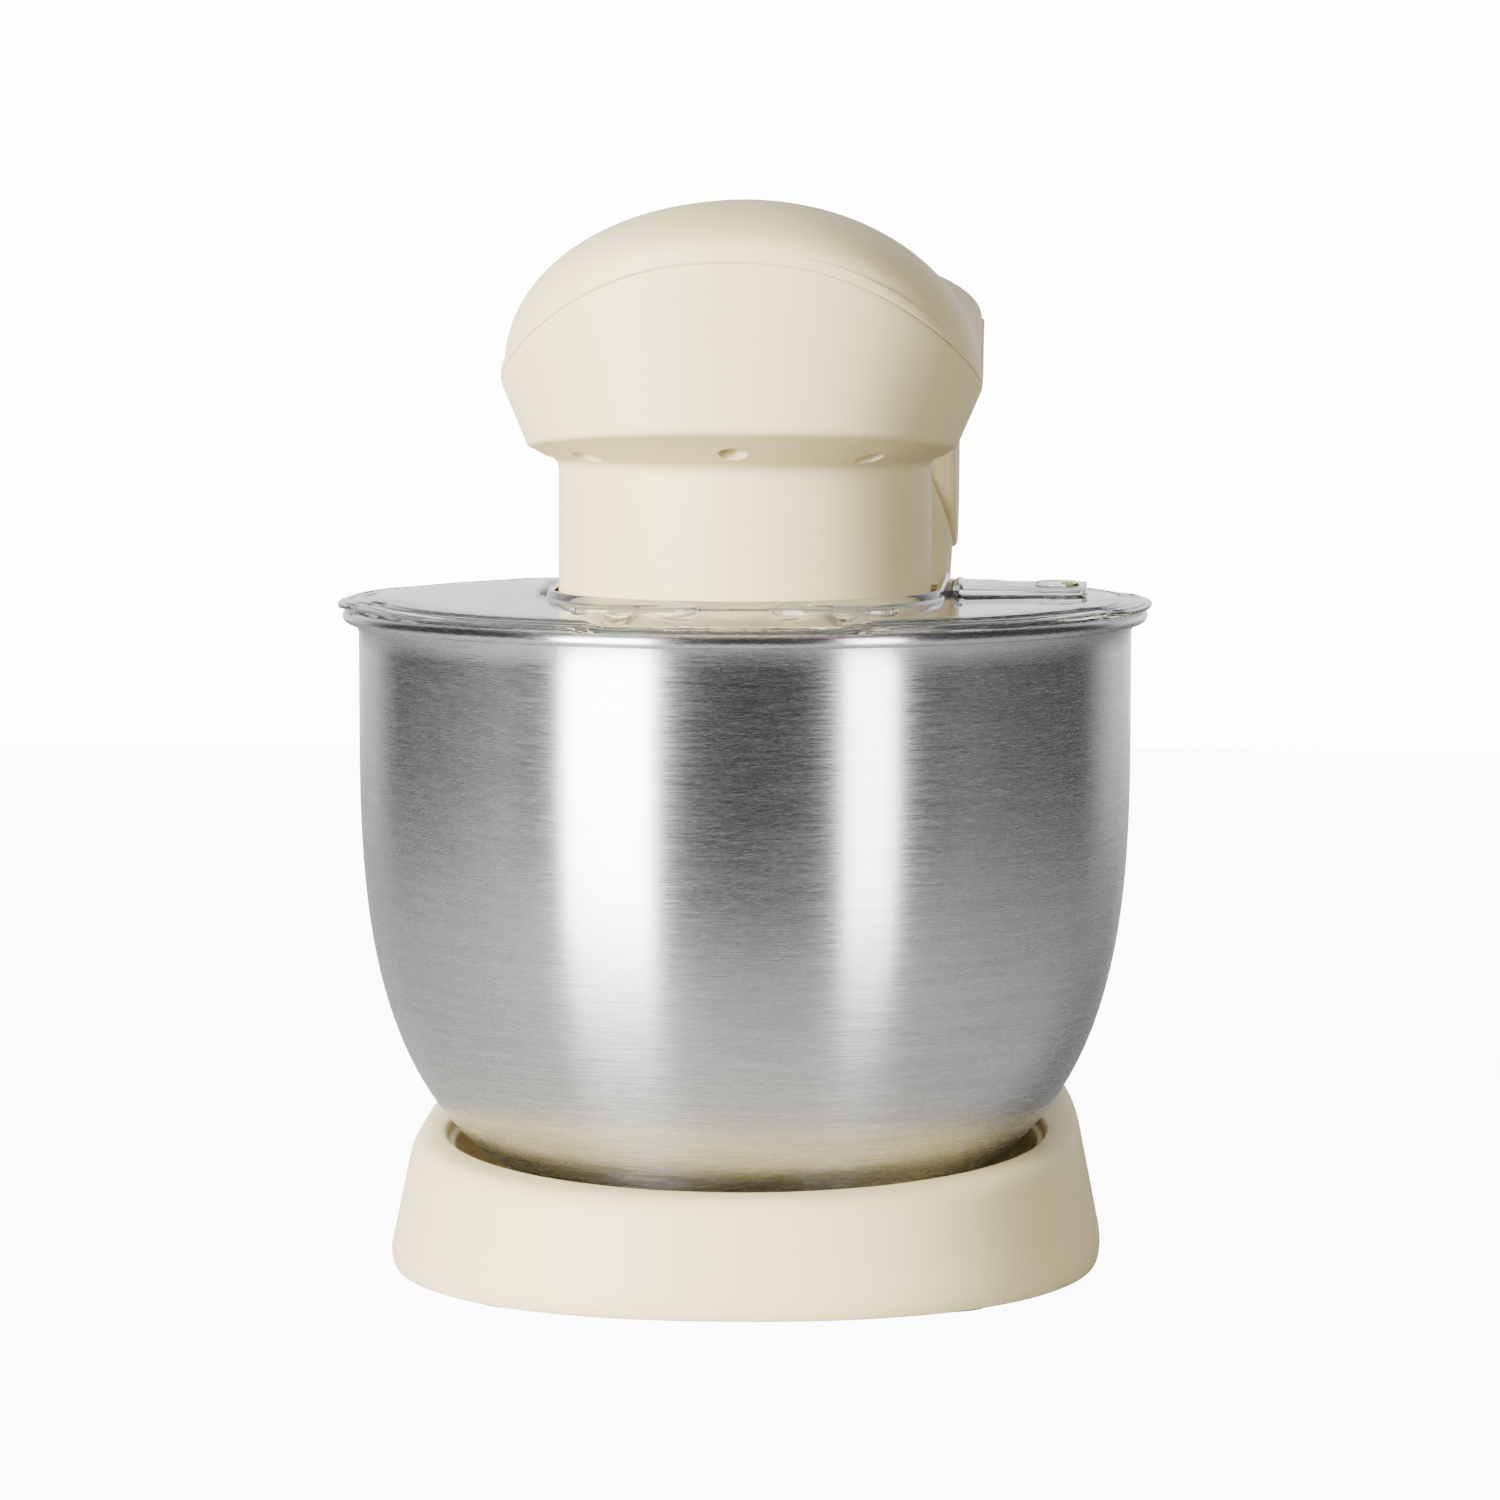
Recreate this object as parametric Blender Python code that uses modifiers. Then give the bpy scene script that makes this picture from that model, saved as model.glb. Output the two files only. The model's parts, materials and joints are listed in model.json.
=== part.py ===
"""Tilt-head stand mixer with a steel bowl, modelled as separate pieces.

Sizes are in millimetres and MM turns them into Blender's metres. +Z is up, the front
faces -Y, and the origin is on the ground at the middle of the footprint.
"""
import math

import bmesh
import bpy
from mathutils import Matrix, Vector

MM = 0.001
GAP = 0.3

# Bowl, guard and tool axis
BOWL_Y = -44.0
BOWL_WALL_RADIUS = 108.9
BOWL_WIDEST_Z = 160.0
BOWL_DEPTH = 143.0
BOWL_FLOOR_Z = 20.2
BOWL_WALL = 1.0
RIM_RADIUS = 113.5
RIM_Z = 185.8
GUARD_RADIUS = 115.0
GUARD_Z = 188.6
TURRET_RADIUS = 52.5
TURRET_FOOT_Z = 188.0

# Base and column
BASE_WIDTH = 101.0
BASE_BOTTOM_Z = 1.2
BASE_FRONT_Y = BOWL_Y - 99.0
BASE_REAR_Y = BOWL_Y + 203.0
BASE_WIDEST_Y = BOWL_Y + 10.0
RIM_FRONT_Z = 32.0
RIM_SLOPE = 9.0 / 158.0
WALL = 3.0

# Tilt hinge
HINGE_Y = BOWL_Y + 165.0
HINGE_Z = 231.0
DRUM_RADIUS = 36.0
DRUM_HALF_WIDTH = 57.0
SADDLE_RADIUS = 37.0

# Head
HEAD_WALL = 2.5
HEAD_HALF_WIDTH = 67.0
HEAD_FRONT_Y = BOWL_Y - 80.0
HEAD_FLOOR_Z = 233.0
NOSE_LENGTH = 65.0
TAIL_LENGTH = 14.0

# Drive train
MOTOR_Z = 261.0
PLANET_OFFSET = 24.0
GEAR_MODULE = 1.5
PLANET_MODULE = 2.0
WORM_MODULE = 1.25
CARRIER_TEETH = 32
LAYSHAFT_TEETH = 10
RING_TEETH = 40
PINION_TEETH = 16
WHEEL_TEETH = 30
WORM_DISTANCE = 25.3
LAYSHAFT_DISTANCE = 31.8
LAYSHAFT_X = -WORM_DISTANCE
LAYSHAFT_Y = BOWL_Y + math.sqrt(LAYSHAFT_DISTANCE ** 2 - WORM_DISTANCE ** 2)
CARRIER_GEAR_Z = 241.5

# Controls
DIAL_Y = BOWL_Y + 158.0
DIAL_Z = 95.0
LEVER_Y = BOWL_Y + 152.0
LEVER_Z = 160.0

for leftover in list(bpy.data.objects):
    bpy.data.objects.remove(leftover, do_unlink=True)

PARTS = bpy.data.collections.new("stand_mixer")
CUTTERS = bpy.data.collections.new("cutters")
bpy.context.scene.collection.children.link(PARTS)
bpy.context.scene.collection.children.link(CUTTERS)


# ---------------------------------------------------------------- materials

def material(name, colour, roughness, metallic=0.0):
    finish = bpy.data.materials.new(name)
    finish.use_nodes = True
    shader = finish.node_tree.nodes["Principled BSDF"]
    shader.inputs["Base Color"].default_value = (*colour, 1.0)
    shader.inputs["Roughness"].default_value = roughness
    shader.inputs["Metallic"].default_value = metallic
    return finish


CREAM = material("cream_plastic", (0.86, 0.80, 0.66), 0.38)
STEEL = material("brushed_steel", (0.62, 0.62, 0.61), 0.28, 1.0)
BRIGHT = material("bright_steel", (0.70, 0.70, 0.70), 0.2, 1.0)
CLEAR = material("clear_plastic", (0.92, 0.94, 0.95), 0.08)
RUBBER = material("grey_rubber", (0.10, 0.10, 0.10), 0.85)
DARK = material("dark_plastic", (0.06, 0.06, 0.06), 0.5)
NYLON = material("white_nylon", (0.80, 0.79, 0.74), 0.45)
CAST = material("die_cast", (0.55, 0.55, 0.56), 0.45, 1.0)
COPPER = material("copper_wire", (0.72, 0.38, 0.20), 0.35, 1.0)
BRASS = material("brass", (0.75, 0.60, 0.30), 0.35, 1.0)
BOARD = material("circuit_board", (0.05, 0.22, 0.10), 0.5)


# ---------------------------------------------------------------- shape tools

def place(mesh, name, finish, centre=(0, 0, 0), collection=PARTS):
    obj = bpy.data.objects.new(name, mesh)
    obj.location = Vector(centre) * MM
    if finish is not None:
        mesh.materials.append(finish)
    collection.objects.link(obj)
    return obj


def turned(name, finish, profile, centre, axis="Z", steps=32):
    """Sweep an outline of (radius, height) once round an axis through centre."""
    points = [(radius * MM, 0.0, height * MM) for radius, height in profile]
    edges = [(i, i + 1) for i in range(len(points) - 1)]
    if profile[0][0] > 0 or profile[-1][0] > 0:
        edges.append((len(points) - 1, 0))
    mesh = bpy.data.meshes.new(name)
    mesh.from_pydata(points, edges, [])
    obj = place(mesh, name, finish, centre)
    if axis == "Y":
        obj.rotation_euler = (-math.pi / 2, 0, 0)
    if axis == "X":
        obj.rotation_euler = (0, math.pi / 2, 0)
    screw = obj.modifiers.new("turn", "SCREW")
    screw.steps = steps
    screw.render_steps = steps
    screw.use_merge_vertices = True
    screw.merge_threshold = 0.00001
    screw.use_smooth_shade = True
    return obj


def rod(name, finish, radius, low, high, centre, axis="Z", steps=24):
    profile = [(0, high), (radius, high), (radius, low), (0, low)]
    return turned(name, finish, profile, centre, axis, steps)


def ring(name, finish, inner, outer, low, high, centre, axis="Z", steps=24):
    profile = [(inner, high), (outer, high), (outer, low), (inner, low)]
    return turned(name, finish, profile, centre, axis, steps)


def block(name, finish, low, high, bevel=0.0):
    mesh = bpy.data.meshes.new(name)
    shape = bmesh.new()
    bmesh.ops.create_cube(shape, size=1.0)
    size = [(high[i] - low[i]) * MM for i in range(3)]
    bmesh.ops.scale(shape, vec=size, verts=shape.verts)
    shape.to_mesh(mesh)
    shape.free()
    centre = [(low[i] + high[i]) / 2 for i in range(3)]
    obj = place(mesh, name, finish, centre)
    if bevel:
        edge = obj.modifiers.new("soft_edges", "BEVEL")
        edge.width = bevel * MM
        edge.segments = 2
    return obj


def loft(name, finish, rings, closed=False):
    """Join rings of equal count by strips of faces; cap both ends or close the loop."""
    mesh = bpy.data.meshes.new(name)
    shape = bmesh.new()
    rows = [[shape.verts.new(Vector(point) * MM) for point in row] for row in rings]
    count = len(rings[0])
    pairs = list(zip(rows, rows[1:]))
    if closed:
        pairs.append((rows[-1], rows[0]))
    for upper, lower in pairs:
        for i in range(count):
            j = (i + 1) % count
            shape.faces.new((upper[i], upper[j], lower[j], lower[i]))
    if not closed:
        shape.faces.new(rows[0])
        shape.faces.new(reversed(rows[-1]))
    bmesh.ops.remove_doubles(shape, verts=shape.verts, dist=0.00001)
    bmesh.ops.dissolve_degenerate(shape, dist=0.00001, edges=shape.edges)
    bmesh.ops.triangulate(shape, faces=shape.faces)
    bmesh.ops.recalc_face_normals(shape, faces=shape.faces)
    shape.to_mesh(mesh)
    shape.free()
    return place(mesh, name, finish)


def extruded(name, finish, outlines, low, high, centre, axis="Z"):
    """A flat outline, with any holes, given thickness along an axis."""
    curve = bpy.data.curves.new(name + "_outline", "CURVE")
    curve.dimensions = "2D"
    curve.fill_mode = "BOTH"
    curve.extrude = (high - low) / 2 * MM
    for outline in outlines:
        spline = curve.splines.new("POLY")
        spline.points.add(len(outline) - 1)
        for point, (x, y) in zip(spline.points, outline):
            point.co = (x * MM, y * MM, 0, 1)
        spline.use_cyclic_u = True
    flat = bpy.data.objects.new(name + "_flat", curve)
    CUTTERS.objects.link(flat)
    obj = solid_from_curve(name, finish, flat)
    shift = Matrix.Translation((0, 0, (low + high) / 2 * MM))
    obj.data.transform(shift)
    obj.location = Vector(centre) * MM
    if axis == "Y":
        obj.rotation_euler = (-math.pi / 2, 0, 0)
    if axis == "X":
        obj.rotation_euler = (0, math.pi / 2, 0)
    return obj


def wire(name, finish, points, radius, fine=2):
    curve = bpy.data.curves.new(name + "_path", "CURVE")
    curve.dimensions = "3D"
    curve.bevel_depth = radius * MM
    curve.bevel_resolution = fine
    curve.use_fill_caps = True
    spline = curve.splines.new("POLY")
    spline.points.add(len(points) - 1)
    for point, spot in zip(spline.points, points):
        point.co = (*(Vector(spot) * MM), 1)
    path = bpy.data.objects.new(name + "_path", curve)
    CUTTERS.objects.link(path)
    return solid_from_curve(name, finish, path)


def solid_from_curve(name, finish, path):
    bpy.context.view_layer.update()
    ready = path.evaluated_get(bpy.context.evaluated_depsgraph_get())
    mesh = bpy.data.meshes.new_from_object(ready)
    mesh.name = name
    shape = bmesh.new()
    shape.from_mesh(mesh)
    bmesh.ops.remove_doubles(shape, verts=shape.verts, dist=0.000001)
    bmesh.ops.recalc_face_normals(shape, faces=shape.faces)
    shape.to_mesh(mesh)
    shape.free()
    mesh.materials.clear()
    obj = place(mesh, name, finish)
    obj.matrix_world = path.matrix_world
    bpy.data.objects.remove(path, do_unlink=True)
    return obj


def combine(target, tool, operation):
    """Cut from or join to target with a guide shape that is not itself a part."""
    for owner in list(tool.users_collection):
        owner.objects.unlink(tool)
    CUTTERS.objects.link(tool)
    tool.hide_render = True
    tool.display_type = "WIRE"
    change = target.modifiers.new(operation.lower(), "BOOLEAN")
    change.operation = operation
    change.solver = "EXACT"
    change.object = tool
    return target


def cut(target, *tools):
    for tool in tools:
        combine(target, tool, "DIFFERENCE")


def join(target, *tools):
    for tool in tools:
        combine(target, tool, "UNION")


def gear_outline(teeth, module, height=0.9, root=0.36, tip=0.14, turn=0.0, inward=False):
    """Straight-sided teeth; root and tip are tooth widths as shares of the pitch."""
    radius = teeth * module / 2
    sign = -1 if inward else 1
    outline = []
    for tooth in range(teeth):
        middle = 2 * math.pi * (tooth + turn) / teeth
        for share, level in ((-root, -1.1), (-tip, 1.0), (tip, 1.0), (root, -1.1)):
            angle = middle + share * math.pi / teeth * 1.25
            reach = radius + sign * level * height * module
            outline.append((reach * math.cos(angle), reach * math.sin(angle)))
    return outline


def circle_outline(radius, count=32, centre=(0, 0)):
    step = 2 * math.pi / count
    return [(centre[0] + radius * math.cos(i * step), centre[1] + radius * math.sin(i * step))
            for i in range(count)]


# ---------------------------------------------------------------- base and column

def egg(front, rear, widest, half_width, z_of, front_power=2.27, rear_power=2.6, count=16):
    """Closed outline: a round front half and a longer, narrower rear half."""
    outline = []
    for i in range(4 * count):
        angle = 2 * math.pi * i / (4 * count)
        side, along = math.cos(angle), math.sin(angle)
        power = rear_power if along > 0 else front_power
        reach = rear - widest if along > 0 else widest - front
        x = math.copysign(abs(side) ** (2 / power), side) * half_width
        y = widest + math.copysign(abs(along) ** (2 / power), along) * reach
        outline.append((x, y, z_of(y)))
    return outline


def base_ring(inset, drop=0.0, height=None):
    def level(y):
        if height is not None:
            return height
        return RIM_FRONT_Z + (y - BASE_FRONT_Y) * RIM_SLOPE - drop
    return egg(BASE_FRONT_Y + inset, BASE_REAR_Y - inset, BASE_WIDEST_Y,
               BASE_WIDTH - inset, level, count=9)


def column_ring(front, rear, half_width, z, inset=0.0):
    middle = (front + rear) / 2
    return egg(BOWL_Y + front + inset, BOWL_Y + rear - inset, BOWL_Y + middle,
               half_width - inset, lambda y: z, 3.0, 3.0, count=7)


COLUMN_SECTIONS = [
    (121.0, 197.5, 60.2, 232.0),
    (120.0, 197.0, 58.8, 222.0),
    (118.2, 194.5, 54.9, 187.0),
    (115.5, 192.0, 54.3, 140.0),
    (112.5, 190.5, 56.0, 108.0),
    (107.5, 189.0, 58.5, 80.0),
    (102.5, 187.5, 62.5, 60.0),
    (95.0, 185.0, 69.0, 44.0),
]


def recess_shape(name, grow):
    """Bowl well: a dished opening that is a little wider than the bowl."""
    well = turned(name, None, [
        (0, 70), (86 + grow, 70), (85 + grow, 32 - grow / 2), (82 + grow, 27 - grow),
        (68 + grow, 17 - grow), (0, 17 - grow)], (0, BOWL_Y + 6, 0), steps=36)
    pocket = rod(name + "_pocket", None, 58 + grow, 11.8 - grow, 30, (0, BOWL_Y, 0), steps=32)
    join(well, pocket)
    return well


def make_base_housing():
    housing = loft("base_housing", CREAM, [
        base_ring(14.0, -0.6), base_ring(9.5, 0.0), base_ring(7.2, 2.2), base_ring(6.2, 5.5),
        base_ring(0.0, height=6.0), base_ring(0.6, height=BASE_BOTTOM_Z)])
    column = [column_ring(*section) for section in COLUMN_SECTIONS]
    column.append(column_ring(95.0, 183.0, 69.0, 20.0))
    join(housing, loft("column_form", None, column))
    hollow = loft("base_hollow", None, [
        base_ring(6.2 + WALL + 3, 3.4 + WALL), base_ring(6.2 + WALL, 8.0 + WALL),
        base_ring(WALL + 0.4, height=6.0), base_ring(WALL + 0.4, height=-1.0)])
    shaft = [column_ring(*section, inset=WALL) for section in COLUMN_SECTIONS[::2]]
    shaft.append(column_ring(97.0, 183.0, 67.0, 12.0, inset=WALL))
    column_hollow = loft("column_hollow", None, shaft)
    cut(column_hollow, rod("saddle_back", None, SADDLE_RADIUS + WALL, -90, 90,
                           (0, HINGE_Y, HINGE_Z), "X", 36))
    join(hollow, column_hollow)
    cut(hollow, recess_shape("well_back", WALL))
    cut(housing, recess_shape("bowl_well", 0.0), hollow,
        rod("saddle", None, SADDLE_RADIUS, -90, 90, (0, HINGE_Y, HINGE_Z), "X", 36))
    cut(housing, rod("dial_hole", None, 23.5, 40, 70, (0, DIAL_Y, DIAL_Z), "X", 27),
        rod("lever_hole", None, 10, -70, -40, (0, LEVER_Y, LEVER_Z), "X", 17),
        rod("cord_hole", None, 5.6, 0, 30, (0, BASE_REAR_Y - 22, 16), "Y", 16),
        rod("cord_face", None, 8.6, 18.6, 30, (0, BASE_REAR_Y - 22, 16), "Y", 18))
    join(housing, ring("dial_pad", None, 20, 27, 49.3, 61.8, (0, DIAL_Y, DIAL_Z), "X", 28),
         ring("lever_pad", None, 8, 13, -60.5, -49.7, (0, LEVER_Y, LEVER_Z), "X", 20))
    for side in (-1, 1):
        low, high = sorted((side * 23.4, side * 28.6))
        cut(housing, block("ear_slot", None, (low, HINGE_Y - 14.6, HINGE_Z - 48),
                           (high, HINGE_Y + 14.6, HINGE_Z)))


def make_base_plate():
    outline = [(x, y) for x, y, z in base_ring(WALL + 0.9, height=0)]
    extruded("base_plate", DARK, [outline], 3.0, 5.2, (0, 0, 0))


def make_foot(name, x, y):
    profile = [(0, 2.6), (10, 2.6), (12, 1.4), (12.5, 0), (0, 0)]
    turned(name, RUBBER, profile, (x, BOWL_Y + y, 0), steps=20)


def make_bowl_seat():
    """Bayonet ring: three lips with gaps between them, over a groove for the lugs."""
    seat = turned("bowl_seat", NYLON, [
        (48.8, 19.4), (56.4, 19.4), (57.4, 18.4), (57.4, 12.2), (40, 12.2),
        (40, 13.2), (53.4, 13.2), (53.4, 16.8), (48.8, 16.8)], (0, BOWL_Y, 0), steps=36)
    for turn in range(3):
        angle = math.radians(60 + 120 * turn)
        gap = block("lip_gap", None, (-8, -14.5, 13.4), (8, 14.5, 22))
        gap.location = (Vector((50 * math.cos(angle), BOWL_Y + 50 * math.sin(angle), 17.7))
                        * MM)
        gap.rotation_euler = (0, 0, angle)
        cut(seat, gap)


# ---------------------------------------------------------------- bowl

def bowl_radius(z):
    share = (BOWL_WIDEST_Z - z) / BOWL_DEPTH
    return BOWL_WALL_RADIUS * (1 - max(share, 0) ** 3) ** (1 / 3)


def bowl_outline():
    """Rolled rim, straight upper wall and a round lower wall down to a flat floor."""
    outline = []
    for step in range(6):
        angle = math.radians(150 - 54 * step)
        outline.append((RIM_RADIUS - 1.9 + 1.9 * math.cos(angle), RIM_Z + 1.9 * math.sin(angle)))
    levels = [176, BOWL_WIDEST_Z, 125, 95, 70, 50, 35, 25, BOWL_FLOOR_Z]
    outer = [(bowl_radius(z), z) for z in levels]
    inner = [(bowl_radius(z) - BOWL_WALL - 0.3 * (z < 60), z + 0.5 * (z < 60))
             for z in levels[:-1]]
    outline += outer + [(0, BOWL_FLOOR_Z), (0, BOWL_FLOOR_Z + BOWL_WALL)]
    outline += [(bowl_radius(BOWL_FLOOR_Z) - 1, BOWL_FLOOR_Z + BOWL_WALL)]
    outline += list(reversed(inner))
    return outline


def make_bowl():
    floor_at = [i for i, (radius, z) in enumerate(bowl_outline()) if radius == 0]
    outline = bowl_outline()
    ordered = outline[floor_at[1]:] + outline[:floor_at[0] + 1]
    turned("bowl", STEEL, ordered, (0, BOWL_Y, 0), steps=40)


def make_bowl_foot():
    foot = turned("bowl_foot_ring", BRIGHT, [
        (42.5, 19.9), (47.6, 19.9), (47.6, 13.5), (44.5, 13.5), (44.5, 18.4), (42.5, 18.4)],
        (0, BOWL_Y, 0), steps=36)
    for turn in range(3):
        angle = math.radians(30 + 120 * turn)
        lug = block("lug", None, (-4, -9, 13.8), (4, 9, 16.1))
        lug.location = (Vector((48.4 * math.cos(angle), BOWL_Y + 48.4 * math.sin(angle), 14.95))
                        * MM)
        lug.rotation_euler = (0, 0, angle)
        join(foot, lug)


# ---------------------------------------------------------------- head shells

# Each housing screw: across, along from the bowl axis, foot and top of its two posts
SCREW_SPOTS = [(-41.5, -42.0, 233.2, 286.5), (0.0, -63.5, 235.6, 294.0),
               (36.5, -47.0, 233.2, 288.0)]


def seam_height(y):
    """The joint line climbs over the nose, runs level, and climbs again at the back."""
    front = BOWL_Y + 5 - y
    climb = 36.5 * (max(front, 0) / 85.0) ** 2.35
    back = min(max((y - BOWL_Y - 75) / 70.0, 0), 1)
    return 249.2 + climb + 12.8 * back * back * (3 - 2 * back)


def ridge_height(y):
    """Top line of the head, highest over the bowl."""
    along = (y - BOWL_Y) / 100.0
    return 302.3 - 11.0 * max(along, 0) ** 1.9 - 3.0 * max(-along, 0) ** 2


def head_stations():
    """Shares of the nose, the middle and the tail, front to rear, for one side."""
    nose = [("nose", math.cos(math.radians(angle))) for angle in (14, 30, 46, 62, 76)]
    middle = [("middle", share) for share in (0.0, 0.33, 0.67, 1.0)]
    tail = [("tail", share) for share in (0.45, 0.8, 0.97)]
    return nose + middle + tail


def head_point(station, front, rear, half_width, taper):
    zone, share = station
    nose_end = front + NOSE_LENGTH
    tail_start = rear - TAIL_LENGTH
    if zone == "nose":
        return half_width * (1 - share ** 2.3) ** (1 / 2.3), nose_end - share * NOSE_LENGTH
    if zone == "middle":
        return half_width - taper * share, nose_end + share * (tail_start - nose_end)
    width = half_width - taper - TAIL_LENGTH * (1 - math.sqrt(1 - share ** 2))
    return width, tail_start + share * TAIL_LENGTH


def head_outline(front, rear, half_width, taper=2.0):
    """Closed plan outline: nose point, right side, tail point, left side."""
    side = [head_point(station, front, rear, half_width, taper) for station in head_stations()]
    left = [(-x, y) for x, y in reversed(side)]
    return [(0.0, front)] + side + [(0.0, rear)] + left


def drum_rear(z, radius=DRUM_RADIUS):
    return HINGE_Y + math.sqrt(radius ** 2 - (z - HINGE_Z) ** 2)


def band_ring(share, inset=0.0, lift=0.0):
    """A ring of the head wall, from the seam (share 0) down to its lower edge (share 1)."""
    rear_z = 262.0 - share * (262.0 - HEAD_FLOOR_Z)
    front = HEAD_FRONT_Y + 2.0 * share + inset
    half_width = HEAD_HALF_WIDTH - 7.2 * share - inset
    outline = head_outline(front, drum_rear(rear_z) - inset, half_width, 2.0 - 2.0 * share)
    points = []
    for x, y in outline:
        edge = HEAD_FLOOR_Z + 6.5 * (max(BOWL_Y - 8 - y, 0) / 70.0) ** 1.3
        top = seam_height(y) - GAP / 2
        points.append((x, y, top + (edge - top) * share + lift))
    return points


def turret_ring(radius, z_near, z_rear=None):
    """Points of a round ring, one for each point of the head outline."""
    points = []
    for x, y, z in band_ring(1.0):
        reach = math.hypot(x, y - BOWL_Y)
        px, py = x * radius / reach, (y - BOWL_Y) * radius / reach
        height = z_near
        if z_rear is not None:
            height += (z_rear - z_near) * min(max(py / radius, 0), 1)
        points.append((px, BOWL_Y + py, height))
    return points


def between(first, second, share):
    return [tuple(a + (b - a) * share for a, b in zip(p, q)) for p, q in zip(first, second)]


def make_lower_housing():
    edge = band_ring(1.0)
    under = turret_ring(TURRET_RADIUS + 3.0, 230.5, HEAD_FLOOR_Z)
    inner_edge = band_ring(1.0, HEAD_WALL, HEAD_WALL)
    housing = loft("lower_housing", CREAM, [
        band_ring(0.0), band_ring(0.45), band_ring(0.93), between(edge, under, 0.05), under,
        turret_ring(TURRET_RADIUS - 4.0, 230.0, HEAD_FLOOR_Z),
        turret_ring(TURRET_RADIUS - 4.0, 233.0, HEAD_FLOOR_Z + HEAD_WALL),
        inner_edge, band_ring(0.45, HEAD_WALL), band_ring(0.0, HEAD_WALL)], closed=True)
    foot = TURRET_FOOT_Z
    join(housing, turned("turret", None, [
        (0, 235.2), (TURRET_RADIUS, 235.2), (TURRET_RADIUS, foot + 1.2),
        (TURRET_RADIUS - 1.2, foot), (0, foot)], (0, BOWL_Y, 0), steps=40))
    drum = turned("drum", None, [
        (0, DRUM_HALF_WIDTH), (DRUM_RADIUS - 2, DRUM_HALF_WIDTH),
        (DRUM_RADIUS, DRUM_HALF_WIDTH - 2), (DRUM_RADIUS, 2 - DRUM_HALF_WIDTH),
        (DRUM_RADIUS - 2, -DRUM_HALF_WIDTH), (0, -DRUM_HALF_WIDTH)],
        (0, HINGE_Y, HINGE_Z), "X", 36)
    cut(drum, block("drum_top", None, (-70, HINGE_Y - 50, HEAD_FLOOR_Z + 1),
                    (70, HINGE_Y + 50, HINGE_Z + 60)))
    join(housing, drum)
    cut(housing, rod("turret_bore", None, TURRET_RADIUS - HEAD_WALL, foot - 5, 238,
                     (0, BOWL_Y, 0), steps=38))
    for x in (-44, 44):
        join(housing, rod("bracket_post", None, 5, 234, 246.7, (x, BOWL_Y + 116, 0), steps=16))
    for x, y, foot, top in SCREW_SPOTS:
        join(housing, rod("screw_post", None, 5.6, foot, 256, (x, BOWL_Y + y, 0), steps=16))
    inside = DRUM_HALF_WIDTH - HEAD_WALL
    hollow = rod("drum_hollow", None, DRUM_RADIUS - HEAD_WALL, -inside, inside,
                 (0, HINGE_Y, HINGE_Z), "X", 36)
    cut(hollow, block("hollow_top", None, (-70, HINGE_Y - 50, HEAD_FLOOR_Z + HEAD_WALL + 0.2),
                      (70, HINGE_Y + 50, HINGE_Z + 60)))
    cut(housing, hollow)
    for side in (-1, 1):
        low, high = sorted((side * 20, side * 32))
        cut(housing, block("ear_path", None, (low, HINGE_Y - 17, HINGE_Z - 42),
                           (high, HINGE_Y + 34.6, HINGE_Z - 13)))
    for x, y, foot, top in SCREW_SPOTS:
        cut(housing, turned("screw_well", None, [(0, 258), (2.0, 258), (2.0, 244), (3.65, 244),
                                                 (3.65, 220), (0, 220)],
                            (x, BOWL_Y + y, 0), steps=13))


def dome_rings(inset, lift, rows):
    """Rings from just above the seam up to the ridge line."""
    outline = head_outline(HEAD_FRONT_Y + inset, drum_rear(262.0) - inset,
                           HEAD_HALF_WIDTH - inset)
    rings = []
    for share in rows:
        angle = share * math.pi / 2
        across = math.cos(angle)
        up = math.sin(angle)
        points = []
        for x, y in outline:
            spine = min(max(y, BOWL_Y - 22), BOWL_Y + 118)
            low = seam_height(y) + 3.4
            high = ridge_height(spine) - lift
            points.append((x * across, spine + (y - spine) * across, low + (high - low) * up))
        rings.append(points)
    return rings


def make_top_cover():
    rows = [0.0, 0.18, 0.36, 0.55, 0.75, 1.0]
    lip = [(x, y, seam_height(y) + GAP / 2)
           for x, y in head_outline(HEAD_FRONT_Y, drum_rear(262.0), HEAD_HALF_WIDTH)]
    inner_lip = [(x, y, seam_height(y) + GAP / 2)
                 for x, y in head_outline(HEAD_FRONT_Y + HEAD_WALL, drum_rear(262.0) - HEAD_WALL,
                                          HEAD_HALF_WIDTH - HEAD_WALL)]
    outer = dome_rings(0.7, 0.0, rows)
    inner = dome_rings(HEAD_WALL, HEAD_WALL, rows)
    rings = list(reversed(outer)) + [lip, inner_lip] + inner
    cover = loft("top_cover", CREAM, rings)
    for x, y, foot, top in SCREW_SPOTS:
        join(cover, turned("cover_post", None, [(0, top), (4.6, top), (4.6, 257.5),
                                                (2.0, 257.5), (2.0, 275), (0, 275)],
                           (x, BOWL_Y + y, 0), steps=12))


def make_screw(name, x, y):
    profile = [(0, 272), (1.6, 271), (1.6, 243.6), (3.2, 243.6), (3.2, 241.2), (0, 241.2)]
    turned(name, BRIGHT, profile, (x, BOWL_Y + y, 0), steps=16)


# ---------------------------------------------------------------- splash guard

HATCH_LOW = (61.0, 6.0)
HATCH_HIGH = (94.0, 42.0)
SLOT_HALF_WIDTH = 53.0


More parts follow.
